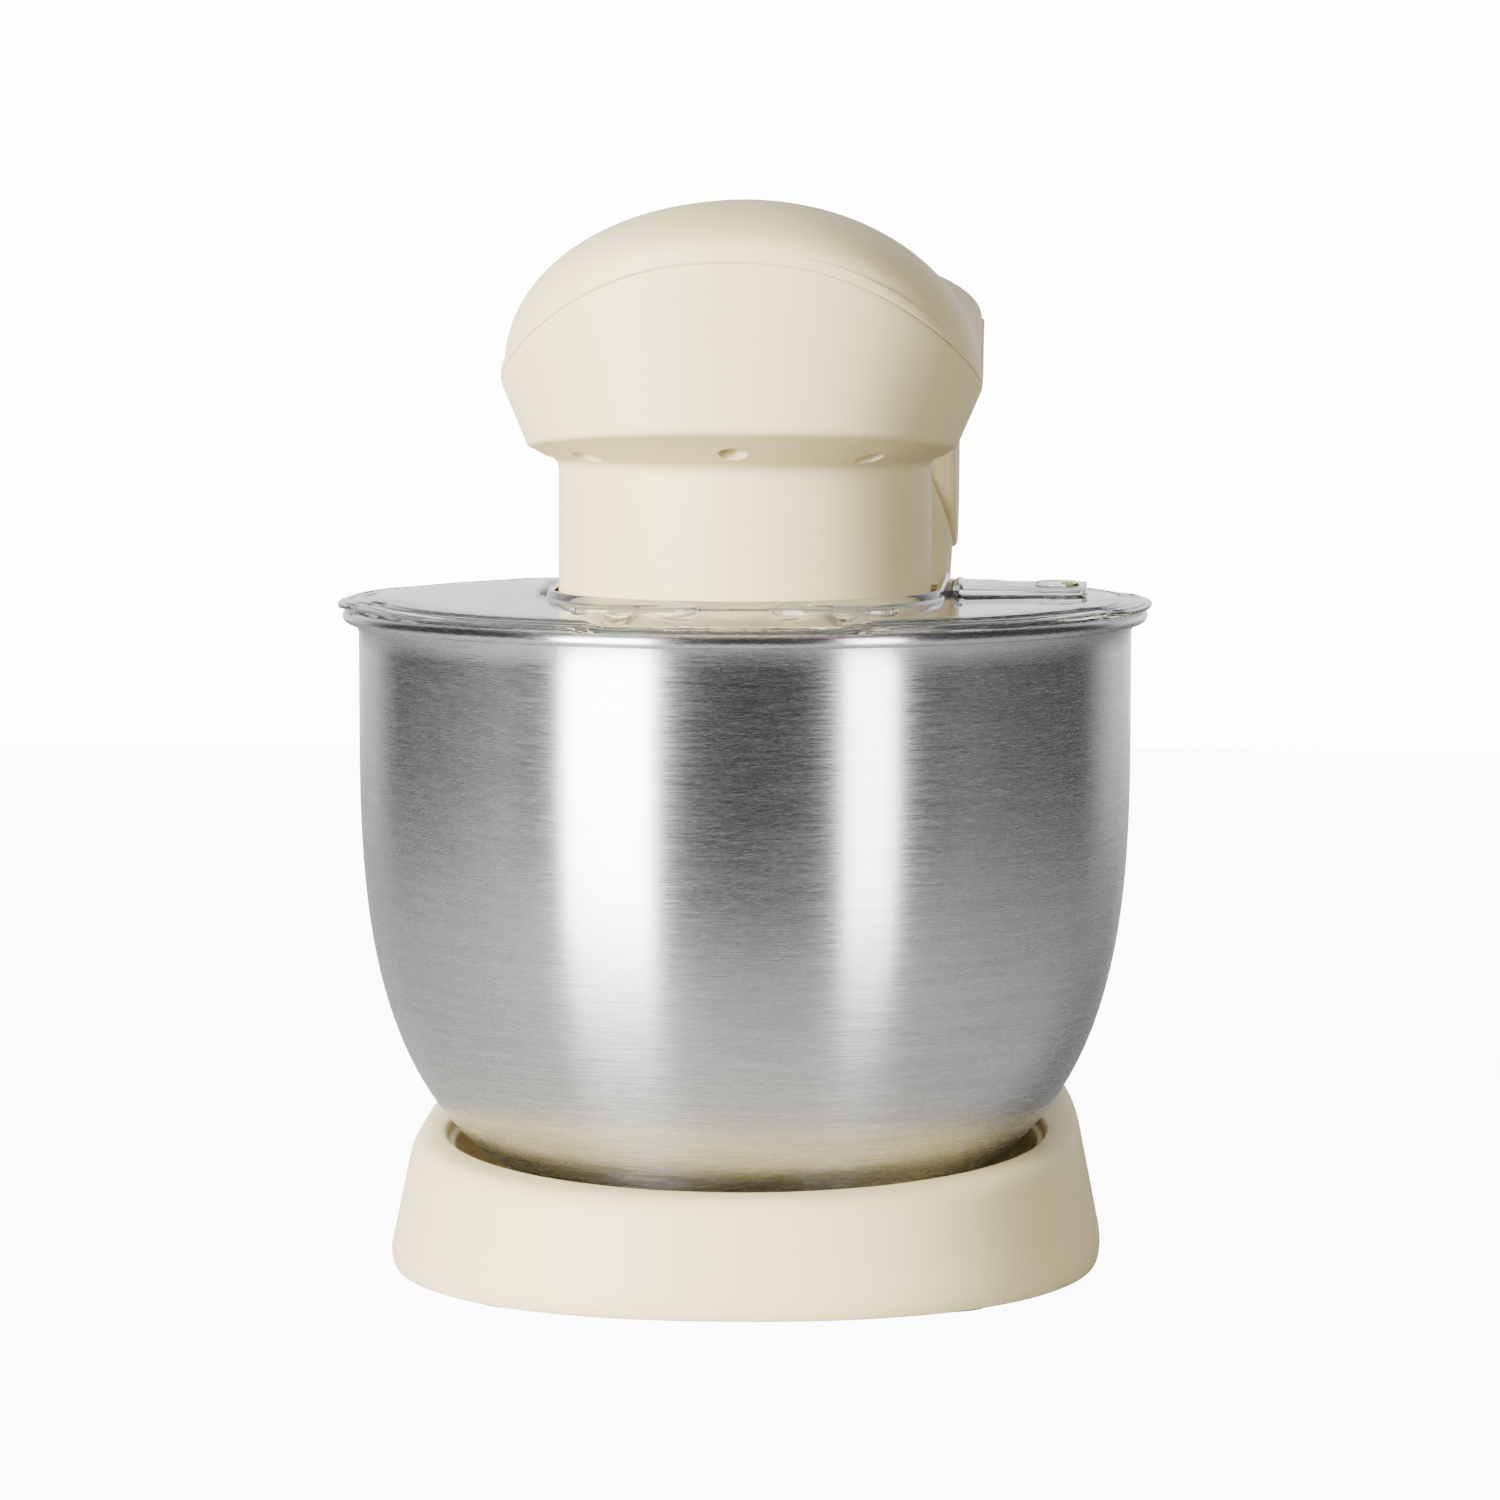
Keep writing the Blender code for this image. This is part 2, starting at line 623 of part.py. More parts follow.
def make_splash_guard():
    """A thin disc with a slot at the back, so that it slides in round the turret."""
    z = GUARD_Z
    guard = turned("splash_guard", CLEAR, [
        (53.2, z + 4.2), (54.8, z + 4.2), (55.2, z + 1.8), (108.5, z + 1.8), (110.5, z + 0.9),
        (GUARD_RADIUS, z + 0.9), (GUARD_RADIUS, z - 0.4), (106.2, z - 0.4), (105.2, z - 8.6),
        (103.8, z - 8.6), (103.8, z), (53.2, z)], (0, BOWL_Y, 0), steps=40)
    cut(guard, block("hatch_opening", None, (HATCH_LOW[0], BOWL_Y + HATCH_LOW[1], z - 5),
                     (HATCH_HIGH[0], BOWL_Y + HATCH_HIGH[1], z + 6)),
        block("rear_slot", None, (-SLOT_HALF_WIDTH, BOWL_Y, z - 10),
              (SLOT_HALF_WIDTH, BOWL_Y + 120, z + 10)))
    for side in (-1, 1):
        low, high = sorted((side * SLOT_HALF_WIDTH, side * (SLOT_HALF_WIDTH + 2.4)))
        join(guard, block("slot_rail", None, (low, BOWL_Y - 1, z + 0.2),
                          (high, BOWL_Y + 97, z + 4.4)))


def make_filler_flap():
    z = GUARD_Z + 2.2
    flap = block("filler_flap", CLEAR, (HATCH_LOW[0] - 1.0, BOWL_Y + HATCH_LOW[1] - 2.5, z),
                 (HATCH_HIGH[0] + 2.5, BOWL_Y + HATCH_HIGH[1] + 2.5, z + 1.6))
    join(flap, rod("flap_roll", None, 1.5, HATCH_LOW[1] + 2, HATCH_HIGH[1] - 2,
                   (HATCH_LOW[0] - 1.0, BOWL_Y, z + 1.6), "Y", 16))


# ---------------------------------------------------------------- hinge

def make_hinge_bracket():
    """Two upright ears on a foot plate inside the column."""
    bracket = block("hinge_bracket", CAST, (-34, HINGE_Y - 20, 178), (34, HINGE_Y + 16, 182))
    for side in (-1, 1):
        low, high = sorted((side * 24, side * 28))
        join(bracket, block("ear", None, (low, HINGE_Y - 13, 180), (high, HINGE_Y + 13, HINGE_Z)),
             rod("ear_eye", None, 12.6, low, high, (0, HINGE_Y, HINGE_Z), "X", 28))
    cut(bracket, rod("ear_bore", None, 6.8, -40, 40, (0, HINGE_Y, HINGE_Z), "X", 24))


def make_head_bracket():
    """Inverted channel in the head: a top plate and two lugs that hold the pin."""
    low_z, high_z = 247.0, 250.0
    bracket = block("head_bracket", CAST, (-50, HINGE_Y - 56, low_z), (50, HINGE_Y + 14, high_z))
    for side in (-1, 1):
        low, high = sorted((side * 34, side * 38))
        join(bracket, block("lug_plate", None, (low, HINGE_Y - 12, HINGE_Z), (high, HINGE_Y + 12,
                                                                             high_z - 1)),
             rod("lug_eye", None, 10.5, low, high, (0, HINGE_Y, HINGE_Z), "X", 24))
    cut(bracket, rod("pin_bore", None, 4.3, -60, 60, (0, HINGE_Y, HINGE_Z), "X", 20),
        block("motor_window", None, (-30, HINGE_Y - 60, low_z - 2),
              (30, HINGE_Y - 44, high_z + 2)))


def coil(centre, axis, radius, pitch, turns, steps=10):
    points = []
    for i in range(int(turns * steps) + 1):
        angle = 2 * math.pi * i / steps
        along = pitch * (i / steps - turns / 2)
        local = (radius * math.cos(angle), radius * math.sin(angle))
        if axis == "X":
            spot = (along, local[0], local[1])
        else:
            spot = (local[0], local[1], along)
        points.append(tuple(a + b for a, b in zip(centre, spot)))
    return points


def make_hinge_small_parts():
    at = (0, HINGE_Y, HINGE_Z)
    rod("hinge_pin", BRIGHT, 4.0, -42, 42, at, "X", 20)
    ring("hinge_bush_left", BRASS, 4.3, 6.5, -28.6, -23.4, at, "X", 20)
    ring("hinge_bush_right", BRASS, 4.3, 6.5, 23.4, 28.6, at, "X", 20)
    wire("tilt_spring", BRIGHT, coil(at, "X", 6.8, 4.2, 5), 1.1, 1)


# ---------------------------------------------------------------- controls

def make_dial_parts():
    at = (0, DIAL_Y, DIAL_Z)
    turned("dial_bezel", CAST, [
        (8.0, 64.0), (25.0, 64.0), (25.6, 63.2), (25.6, 62.1), (19.6, 62.1), (19.6, 52), (8.0, 52)],
        at, "X", 32)
    grip = extruded("speed_dial", CREAM, [gear_outline(16, 2.67, 0.2, 0.7, 0.5)],
                    64.6, 79.0, at, "X")
    join(grip, rod("dial_cap", None, 19.5, 78, 80.5, at, "X", 32))
    cut(grip, rod("dial_socket", None, 3.4, 60, 74, at, "X", 16))
    rod("dial_spindle", BRIGHT, 3.0, 40.3, 73.6, at, "X", 16)
    switch = block("speed_switch", DARK, (26, DIAL_Y - 13, DIAL_Z - 13),
                   (40, DIAL_Y + 13, DIAL_Z + 13), 1.0)
    join(switch, ring("switch_neck", None, 3.4, 6.0, 39, 51.5, at, "X", 20))


def make_control_board():
    low_y, high_y = BOWL_Y + 138, BOWL_Y + 180
    board = block("control_board", BOARD, (-12, low_y, 62), (-10.4, high_y, 132))
    join(board, block("heat_sink", None, (-11, low_y + 6, 100), (2, low_y + 30, 124)),
         rod("capacitor", None, 6, -11, 8, (0, low_y + 30, 78), "X", 16))


def make_cord_grommet():
    turned("cord_grommet", RUBBER, [
        (3.6, 21.6), (7.2, 21.6), (8.0, 20.8), (8.0, 18.9), (5.2, 18.9), (5.2, 10), (3.6, 10)],
        (0, BASE_REAR_Y - 22, 16), "Y", 20)


def make_release():
    at = (0, LEVER_Y, LEVER_Z)
    lever = rod("release_lever", CREAM, 11.0, -71, -61.0, at, "X", 28)
    join(lever, rod("lever_shaft", None, 7.6, -62, -12.0, at, "X", 20),
         block("lever_arm", None, (-69, LEVER_Y - 34, LEVER_Z - 7), (-62.5, LEVER_Y, LEVER_Z + 7),
               2.0))
    outline = [(-9, -9), (9, -9), (9, 6), (4, 13), (-4, 13), (-9, 6)]
    pawl = extruded("latch_pawl", CAST, [outline, circle_outline(3.4, 16)], -11.6, -5.6, at, "X")
    pawl.rotation_euler = (0, math.pi / 2, 0)
    join(lever, rod("pawl_spigot", None, 3.0, -13, -5.0, at, "X", 16))
    points = coil((-32, LEVER_Y, LEVER_Z), "X", 9.4, 3.2, 4)
    wire("latch_spring", BRIGHT, points, 0.9, 1)


# ---------------------------------------------------------------- gears and tool

def make_gearbox_housing():
    housing = turned("gearbox_housing", CAST, [
        (11.4, 232), (15, 232), (15, 217), (49.4, 217), (49.4, 212), (6, 212), (6, 221),
        (11.4, 221)], (0, BOWL_Y, 0), steps=24)
    join(housing, rod("layshaft_boss", None, 7, 214, 232, (LAYSHAFT_X, LAYSHAFT_Y, 0), steps=20))
    cut(housing, rod("layshaft_bore", None, 4.0, 219, 240, (LAYSHAFT_X, LAYSHAFT_Y, 0),
                     steps=16))


def make_planetary():
    ring_teeth = gear_outline(RING_TEETH, PLANET_MODULE, 0.7, 0.36, 0.14, 0.0, True)
    extruded("ring_gear", NYLON, [circle_outline(49.2, 40), ring_teeth], 200.5, 211.5,
             (0, BOWL_Y, 0))
    hub = turned("planet_hub", CAST, [
        (0, 210), (6.1, 210), (6.1, 195), (48.4, 195), (49.0, 193), (49.0, 190.2), (0, 190.2)],
        (0, BOWL_Y, 0), steps=28)
    bore_at = (-PLANET_OFFSET, BOWL_Y, 0)
    join(hub, rod("tool_boss", None, 10, 194, 198.5, bore_at, steps=24))
    cut(hub, rod("tool_bore", None, 6.4, 188, 200, bore_at, steps=24))
    rod("carrier_shaft", BRIGHT, 5.4, 210.3, 251, (0, BOWL_Y, 0), steps=20)
    ring("carrier_bearing", BRIGHT, 5.9, 11.0, 221.3, 229.5, (0, BOWL_Y, 0), steps=28)
    extruded("carrier_gear", NYLON, [gear_outline(CARRIER_TEETH, GEAR_MODULE, 0.7),
                                     circle_outline(5.8, 20)],
             CARRIER_GEAR_Z - 3.5, CARRIER_GEAR_Z + 3.5, (0, BOWL_Y, 0))
    extruded("planet_pinion", NYLON, [
        gear_outline(PINION_TEETH, PLANET_MODULE, 0.7, turn=0.5), circle_outline(5.3, 16)],
        201.5, 210.5, bore_at)
    shaft = rod("tool_shaft", BRIGHT, 5.0, 176, 211, bore_at, steps=20)
    join(shaft, rod("tool_pin", None, 1.6, -9, 9, (-PLANET_OFFSET, BOWL_Y, 180), "X", 12))


def make_layshaft():
    at = (LAYSHAFT_X, LAYSHAFT_Y, 0)
    outward = math.atan2(LAYSHAFT_Y - BOWL_Y, LAYSHAFT_X)
    carrier_phase = outward / (2 * math.pi) * CARRIER_TEETH
    own_phase = (outward + math.pi) / (2 * math.pi) * LAYSHAFT_TEETH
    turn = own_phase + carrier_phase - 0.5
    shaft = extruded("layshaft", BRIGHT, [
        gear_outline(LAYSHAFT_TEETH, GEAR_MODULE, 0.7, turn=turn)],
        CARRIER_GEAR_Z - 4, CARRIER_GEAR_Z + 4, at)
    join(shaft, rod("layshaft_core", None, 3.6, 220, 272, at, steps=16))
    extruded("worm_wheel", NYLON, [
        gear_outline(WHEEL_TEETH, WORM_MODULE, 0.7), circle_outline(4.0, 20)],
        MOTOR_Z - 4.5, MOTOR_Z + 4.5, at)


def make_worm():
    """Shaft with a rounded screw thread, one start."""
    pitch = math.pi * WORM_MODULE
    turns = 4
    sides = 12
    rings = []
    for step in range(turns * 6 + 1):
        along = pitch * (step / 6 - turns / 2)
        row = []
        for side in range(sides):
            angle = 2 * math.pi * side / sides
            crest = max(math.cos(angle - 2 * math.pi * along / pitch), -0.2)
            radius = 5.7 + 1.2 * crest
            row.append((radius * math.cos(angle), LAYSHAFT_Y + along,
                        MOTOR_Z + radius * math.sin(angle)))
        rings.append(row)
    worm = loft("worm", BRASS, rings)
    cut(worm, rod("worm_bore", None, 3.3, -40, 40, (0, LAYSHAFT_Y, MOTOR_Z), "Y", 12))


def make_dough_hook():
    """Thick bar that swings out in a half turn and comes back under the tool shaft."""
    points = []
    for step in range(15):
        share = step / 14
        z = 164 - share * 128
        swing = 30 * math.sin(math.pi * share ** 0.85) ** 1.15 * (1 - 0.25 * share)
        angle = math.radians(150 * share - 40)
        points.append((-PLANET_OFFSET + swing * math.cos(angle),
                       BOWL_Y + swing * math.sin(angle), z))
    hook = wire("dough_hook", CAST, points, 4.6, 2)
    collar = turned("hook_collar", None, [
        (5.4, 188), (9.4, 188), (9.4, 166), (7.5, 160), (0, 160), (0, 172), (5.4, 172)],
        (-PLANET_OFFSET, BOWL_Y, 0), steps=24)
    join(hook, collar)
    cut(hook, block("pin_slot", None, (-PLANET_OFFSET - 12, BOWL_Y - 2.1, 177),
                    (-PLANET_OFFSET + 12, BOWL_Y + 2.1, 183)))


# ---------------------------------------------------------------- motor

def make_motor():
    def along(y):
        return BOWL_Y + y

    at = (0, BOWL_Y, MOTOR_Z)
    rod("motor_shaft", BRIGHT, 3.0, 6, 110, at, "Y", 16)
    core = extruded("armature_core", CAST, [gear_outline(12, 2.2, 0.5, 0.45, 0.68),
                                            circle_outline(3.3, 16)], 62, 88, at, "Y")
    core.rotation_euler = (-math.pi / 2, 0, 0)
    ring("commutator", COPPER, 3.3, 8.5, 93.5, 100, at, "Y", 24)
    extruded("cooling_fan", DARK, [gear_outline(9, 3.4, 1.0, 0.4, 0.3), circle_outline(3.3, 16)],
             50, 57, at, "Y")
    square = [(-22, -20), (-20, -22), (20, -22), (22, -20), (22, 20), (20, 22), (-20, 22),
              (-22, 20)]
    window = []
    for i in range(36):
        angle = math.radians(10 * i)
        wide = abs(math.sin(angle)) < 0.5
        reach = 19.4 / max(abs(math.cos(angle)), 0.5) if wide else 15.4
        window.append((reach * math.cos(angle), reach * math.sin(angle)))
    extruded("motor_stator", CAST, [square, window], 61, 89, at, "Y")
    for name, side in (("field_coil_upper", 1), ("field_coil_lower", -1)):
        low, high = sorted((MOTOR_Z + side * 3.5, MOTOR_Z + side * 6.6))
        outer = [(-18.9, 57.8), (18.9, 57.8), (18.9, 92.2), (-18.9, 92.2)]
        inner = [(-15.7, 60.8), (15.7, 60.8), (15.7, 89.2), (-15.7, 89.2)]
        extruded(name, COPPER, [outer, inner], low, high, (0, BOWL_Y, 0))
    for name, side in (("brush_holder_left", -1), ("brush_holder_right", 1)):
        low, high = sorted((side * 9.0, side * 22.0))
        block(name, DARK, (low, along(94.8), MOTOR_Z - 2.6), (high, along(98.6), MOTOR_Z + 2.6))
    ring("motor_bearing_front", BRIGHT, 3.3, 8.0, 40, 46, at, "Y", 20)
    ring("motor_bearing_rear", BRIGHT, 3.3, 8.0, 102, 107, at, "Y", 20)
    cradle = block("motor_cradle", CAST, (-24, along(38), 236.3), (24, along(108), 238.6))
    for low, high in ((39, 47), (101.5, 107.5)):
        join(cradle, block("cradle_end", None, (-14, along(low), 238), (14, along(high), 273)))
    cut(cradle, rod("bearing_bore", None, 8.3, 30, 120, at, "Y", 24))


make_base_housing()
make_base_plate()
make_foot("foot_front_left", -58, -62)
make_foot("foot_front_right", 58, -62)
make_foot("foot_rear_left", -52, 158)
make_foot("foot_rear_right", 52, 158)
make_bowl_seat()
make_bowl()
make_bowl_foot()
make_lower_housing()
make_top_cover()
for screw_name, spot in zip(("cover_screw_left", "cover_screw_front", "cover_screw_right"),
                            SCREW_SPOTS):
    make_screw(screw_name, spot[0], spot[1])
make_splash_guard()
make_filler_flap()
make_hinge_bracket()
make_head_bracket()
make_hinge_small_parts()
make_dial_parts()
make_control_board()
make_cord_grommet()
make_release()
make_gearbox_housing()
make_planetary()
make_layshaft()
make_worm()
make_dough_hook()
make_motor()
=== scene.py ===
import json
import math

import bmesh
import bpy
import numpy as np
from mathutils import Matrix, Vector


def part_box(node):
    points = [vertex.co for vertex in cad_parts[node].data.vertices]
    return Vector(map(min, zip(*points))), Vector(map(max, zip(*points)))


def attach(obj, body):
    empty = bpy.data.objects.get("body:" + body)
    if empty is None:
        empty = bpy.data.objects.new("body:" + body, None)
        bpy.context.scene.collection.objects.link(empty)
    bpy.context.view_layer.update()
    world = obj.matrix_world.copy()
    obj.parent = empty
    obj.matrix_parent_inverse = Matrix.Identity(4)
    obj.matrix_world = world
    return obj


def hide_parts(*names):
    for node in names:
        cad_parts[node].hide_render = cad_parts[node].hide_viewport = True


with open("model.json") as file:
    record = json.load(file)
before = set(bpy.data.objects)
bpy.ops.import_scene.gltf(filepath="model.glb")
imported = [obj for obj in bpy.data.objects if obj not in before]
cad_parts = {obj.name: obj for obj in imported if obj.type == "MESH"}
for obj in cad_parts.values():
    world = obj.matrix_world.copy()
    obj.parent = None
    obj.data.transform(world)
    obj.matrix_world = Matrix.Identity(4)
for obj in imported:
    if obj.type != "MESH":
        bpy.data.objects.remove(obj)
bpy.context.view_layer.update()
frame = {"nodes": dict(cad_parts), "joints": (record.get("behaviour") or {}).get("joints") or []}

# ---- Feet
# Four soft rubber pads, each a shallow moulded button with two grip grooves under its
# rim. They are pressed into the underside of the base plate.

MM = 0.001


class Wire:
    """A socket in a node tree, so that sums can be written with it."""

    def __init__(self, board, socket):
        self.board = board
        self.socket = socket

    def work(self, operation, first, second):
        return self.board.node("ShaderNodeMath", {"operation": operation}, {0: first, 1: second})

    def __add__(self, other):
        return self.work("ADD", self, other)

    def __sub__(self, other):
        return self.work("SUBTRACT", self, other)

    def __rsub__(self, other):
        return self.work("SUBTRACT", other, self)

    def __mul__(self, other):
        return self.work("MULTIPLY", self, other)

    def __truediv__(self, other):
        return self.work("DIVIDE", self, other)

    def __pow__(self, other):
        return self.work("POWER", self, other)

    __radd__ = __add__
    __rmul__ = __mul__


class Board:
    """A node tree being wired up."""

    def __init__(self, tree):
        self.tree = tree

    def node(self, kind, settings, sockets, out=0):
        """Add a node: its settings first, then the value or the wire for each socket."""
        made = self.tree.nodes.new(kind)
        for name, value in settings.items():
            if name == "stops":
                ramp = made.color_ramp.elements
                while len(ramp) < len(value):
                    ramp.new(0.5)
                for element, (place, colour) in zip(ramp, value):
                    element.position = place
                    element.color = (*colour, 1)
            else:
                setattr(made, name, value)
        for name, value in sockets.items():
            self.plug(made, name, value)
        named = {socket.identifier: socket for socket in made.outputs}
        if out is None:
            return None
        return Wire(self, named[out] if out in named else made.outputs[out])

    def plug(self, made, name, value):
        named = {socket.identifier: socket for socket in made.inputs}
        socket = named[name] if name in named else made.inputs[name]
        if isinstance(value, Wire):
            self.tree.links.new(value.socket, socket)
        else:
            socket.default_value = value


class Finish(Board):
    """A material: one Principled shader, its even values and what varies over it."""

    def __init__(self, name, **even):
        self.material = bpy.data.materials.new(name)
        self.material.use_nodes = True
        super().__init__(self.material.node_tree)
        self.shader = self.tree.nodes["Principled BSDF"]
        for socket, value in even.items():
            self.shader.inputs[socket.replace("_", " ")].default_value = value
        self.place = self.node("ShaderNodeTexCoord", {}, {}, "Object")

    def grain(self, size, detail=3.0, stretch=(1, 1, 1), roughness=0.55):
        """Cloudy noise from 0 to 1 whose blobs are about size millimetres across."""
        spot = self.node("ShaderNodeMapping", {}, {"Vector": self.place, "Scale": stretch})
        return self.node("ShaderNodeTexNoise", {}, {
            "Vector": spot, "Scale": 1 / (size * MM), "Detail": detail, "Roughness": roughness})

    def tint(self, factor, dark, light):
        """A colour between two, by factor, put on Base Color."""
        colour = self.node("ShaderNodeMix", {"data_type": "RGBA"}, {
            "Factor_Float": factor, "A_Color": (*dark, 1), "B_Color": (*light, 1)},
            "Result_Color")
        self.plug(self.shader, "Base Color", colour)
        return colour

    def relief(self, height, depth, strength=1.0):
        """Bumps of about depth millimetres."""
        bump = self.node("ShaderNodeBump", {}, {
            "Height": height, "Distance": depth * MM, "Strength": strength})
        self.plug(self.shader, "Normal", bump)

    def vary(self, socket, value):
        self.plug(self.shader, socket, value)
        return self


def box_mm(node):
    low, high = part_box(node)
    return low / MM, high / MM


def soften(outline, radius, steps=4):
    """Round the corners of an open outline of (reach, height) points."""
    rounded = [outline[0]]
    for before, corner, after in zip(outline, outline[1:], outline[2:]):
        corner = Vector(corner)
        ways = [Vector(before) - corner, Vector(after) - corner]
        reach = min(radius, *(way.length * 0.45 for way in ways))
        first, last = (corner + way.normalized() * reach for way in ways)
        for step in range(steps + 1):
            share = step / steps
            spot = first.lerp(corner, share).lerp(corner.lerp(last, share), share)
            rounded.append((spot.x, spot.y))
    rounded.append(outline[-1])
    return rounded


def mesh_piece(name, shape, sharp=32):
    """Close a bmesh up and make it a named object with smooth faces and crisp edges."""
    bmesh.ops.remove_doubles(shape, verts=shape.verts, dist=0.000002)
    bmesh.ops.dissolve_degenerate(shape, dist=0.000002, edges=shape.edges)
    bmesh.ops.recalc_face_normals(shape, faces=shape.faces)
    mesh = bpy.data.meshes.new(name)
    shape.to_mesh(mesh)
    shape.free()
    mesh.shade_smooth()
    mesh.set_sharp_from_angle(angle=math.radians(sharp))
    piece = bpy.data.objects.new(name, mesh)
    bpy.context.scene.collection.objects.link(piece)
    return piece


def looped(name, rings, closed=True, sharp=32):
    """Skin a run of rings of equal count; closed joins the last ring to the first."""
    shape = bmesh.new()
    rows = [[shape.verts.new(Vector(point) * MM) for point in ring] for ring in rings]
    pairs = list(zip(rows, rows[1:]))
    if closed:
        pairs.append((rows[-1], rows[0]))
    for upper, lower in pairs:
        for i in range(len(upper)):
            j = (i + 1) % len(upper)
            shape.faces.new((upper[i], upper[j], lower[j], lower[i]))
    if not closed:
        shape.faces.new(rows[0])
        shape.faces.new(rows[-1])
    return mesh_piece(name, shape, sharp)


def turned(name, outline, centre, axis="Z", steps=96, sharp=32):
    """Turn an outline of (radius, height) points about an axis through centre."""
    rings = []
    for radius, height in outline:
        ring = []
        for step in range(steps):
            angle = 2 * math.pi * step / steps
            across, up = radius * math.cos(angle), radius * math.sin(angle)
            local = {"Z": (across, up, height), "Y": (across, height, up),
                     "X": (height, across, up)}[axis]
            ring.append(Vector(local) + Vector(centre))
        rings.append(ring)
    return looped(name, rings, True, sharp)


def fit(piece, body, slot, finish, *nodes):
    """Give a finished piece its material, and let it stand for CAD nodes on a body."""
    piece.data.materials.clear()
    piece.data.materials.append(finish.material)
    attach(piece, body)
    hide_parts(*nodes)


def dress(finish, *nodes):
    """Put a finish on CAD nodes that keep their own shape."""
    for node in nodes:
        for holder in frame["nodes"][node].material_slots:
            holder.material = finish.material


rubber = Finish("pad_rubber", Roughness=0.8, IOR=1.5)
dust = rubber.grain(6.0, 4)
rubber.tint(dust, (0.055, 0.055, 0.057), (0.1, 0.1, 0.098))
rubber.vary("Roughness", 0.7 + 0.2 * dust)
rubber.relief(rubber.grain(0.35, 2), 0.05, 0.5)

for corner in ("front_left", "front_right", "rear_left", "rear_right"):
    pad_low, pad_high = box_mm("foot_" + corner)
    pad_at = (pad_low + pad_high) / 2
    pad_radius = (pad_high.x - pad_low.x) / 2
    pad_top = pad_high.z
    pad_outline = soften([
        (0, pad_top), (pad_radius - 2.5, pad_top), (pad_radius - 0.3, 1.4), (pad_radius, 0),
        (pad_radius - 2.4, 0), (pad_radius - 2.8, 0.7), (pad_radius - 3.6, 0.7),
        (pad_radius - 4, 0), (pad_radius - 6.4, 0), (pad_radius - 6.8, 0.7),
        (pad_radius - 7.6, 0.7), (pad_radius - 8, 0), (0, 0)], 0.4, 3)
    pad = turned("pad_" + corner, pad_outline, (pad_at.x, pad_at.y, 0), steps=64)
    fit(pad, "stand", "rubber", rubber, "foot_" + corner)

# ---- Base and column
# One large moulding in cream satin plastic: a low egg-shaped tub with a dished well for
# the bowl, and a hollow column that sweeps up out of it to the saddle of the tilt hinge.
# It is moulded in one shot, and the dial, lever and cord holes are cored in.

cream = Finish("cream_satin_plastic", IOR=1.45)
cream_cloud = cream.grain(70.0, 3)
cream_speck = cream.grain(0.5, 2)
cream.tint(cream_cloud, (0.81, 0.67, 0.33), (0.83, 0.695, 0.355))
cream.vary("Roughness", 0.46 + 0.05 * cream_cloud + 0.05 * cream_speck)
cream.relief(cream_speck, 0.03, 0.35)

base_low, base_high = box_mm("base_housing")
bowl_low, bowl_high = box_mm("bowl")
bowl_y = (bowl_low.y + bowl_high.y) / 2
base_half = base_high.x
rim_slope = 9 / 158
front_rim = 32.6
tub_middle = bowl_y + 10


def joint_spot(name):
    """A joint's position in millimetres."""
    joint = next(one for one in frame["joints"] if one["name"] == name)
    return [value / MM for value in joint["pos_m"]]


hinge_y, hinge_z = joint_spot("head_tilt")[1:]


def rim_z(y):
    """Height of the tub's top face, which rises gently towards the column."""
    return front_rim + (y - base_low.y) * rim_slope


def egg(front, rear, widest, half, front_power=2.27, rear_power=2.6, count=176):
    """Plan outline: a round front half and a longer, squarer rear half."""
    outline = []
    for step in range(count):
        angle = 2 * math.pi * step / count
        side, along = math.cos(angle), math.sin(angle)
        power = rear_power if along > 0 else front_power
        reach = rear - widest if along > 0 else widest - front
        outline.append((math.copysign(abs(side) ** (2 / power), side) * half,
                        widest + math.copysign(abs(along) ** (2 / power), along) * reach))
    return outline


def tub_ring(inset, share, offset=0.0):
    """A ring round the tub: share 0 is at the lower edge and 1 at the top face."""
    lower_edge = 6.0
    outline = egg(base_low.y + inset, base_high.y - inset, tub_middle, base_half - inset)
    return [(x, y, lower_edge + (rim_z(y) - lower_edge) * share + offset) for x, y in outline]


def curved(first, corner, last, steps):
    """Rings that bend from the first to the last, drawn towards the corner ring."""
    rings = []
    for step in range(steps + 1):
        share = step / steps
        rings.append([tuple((1 - share) ** 2 * a + 2 * share * (1 - share) * b + share ** 2 * c
                            for a, b, c in zip(p, q, r)) for p, q, r in zip(first, corner, last)])
    return rings


def well_ring(radius, depth, level=None, shift=6.0, follow=1.0):
    """A round ring of the well, seen from its middle in step with the tub's outline."""
    ring = []
    for x, y in egg(base_low.y, base_high.y, tub_middle, base_half):
        way = math.atan2(y - bowl_y - shift, x)
        px, py = radius * math.cos(way), bowl_y + shift + radius * math.sin(way)
        sloped = rim_z(py) - depth
        ring.append((px, py, sloped if level is None else level + (sloped - level) * follow))
    return ring


def flat_ring(radius, level, shift=0.0):
    return well_ring(radius, 0, level, shift, 0.0)


well_walls = [well_ring(82.6, 4.5, 28.0, follow=0.7), well_ring(81.4, 6, 26.0, follow=0.35),
              well_ring(79.0, 8, 24.2, follow=0.12), flat_ring(75.5, 21.4, 6),
              flat_ring(72.0, 19.2, 6), flat_ring(68.5, 17.8, 6), flat_ring(65.0, 17.1, 4)]
pocket_walls = [flat_ring(60.5, 16.9, 1), flat_ring(58.6, 16.8), flat_ring(58.1, 16.3),
                flat_ring(58.0, 11.9), flat_ring(57.6, 11.6), flat_ring(20, 11.6),
                flat_ring(0, 11.6)]
shoulder = curved(tub_ring(5.4, 0.80), tub_ring(6.9, 1.0), tub_ring(12.6, 1.0), 9)
mouth = curved(well_ring(86.6, 0.0), well_ring(85.3, 0.1), well_ring(85.1, 1.5), 4)
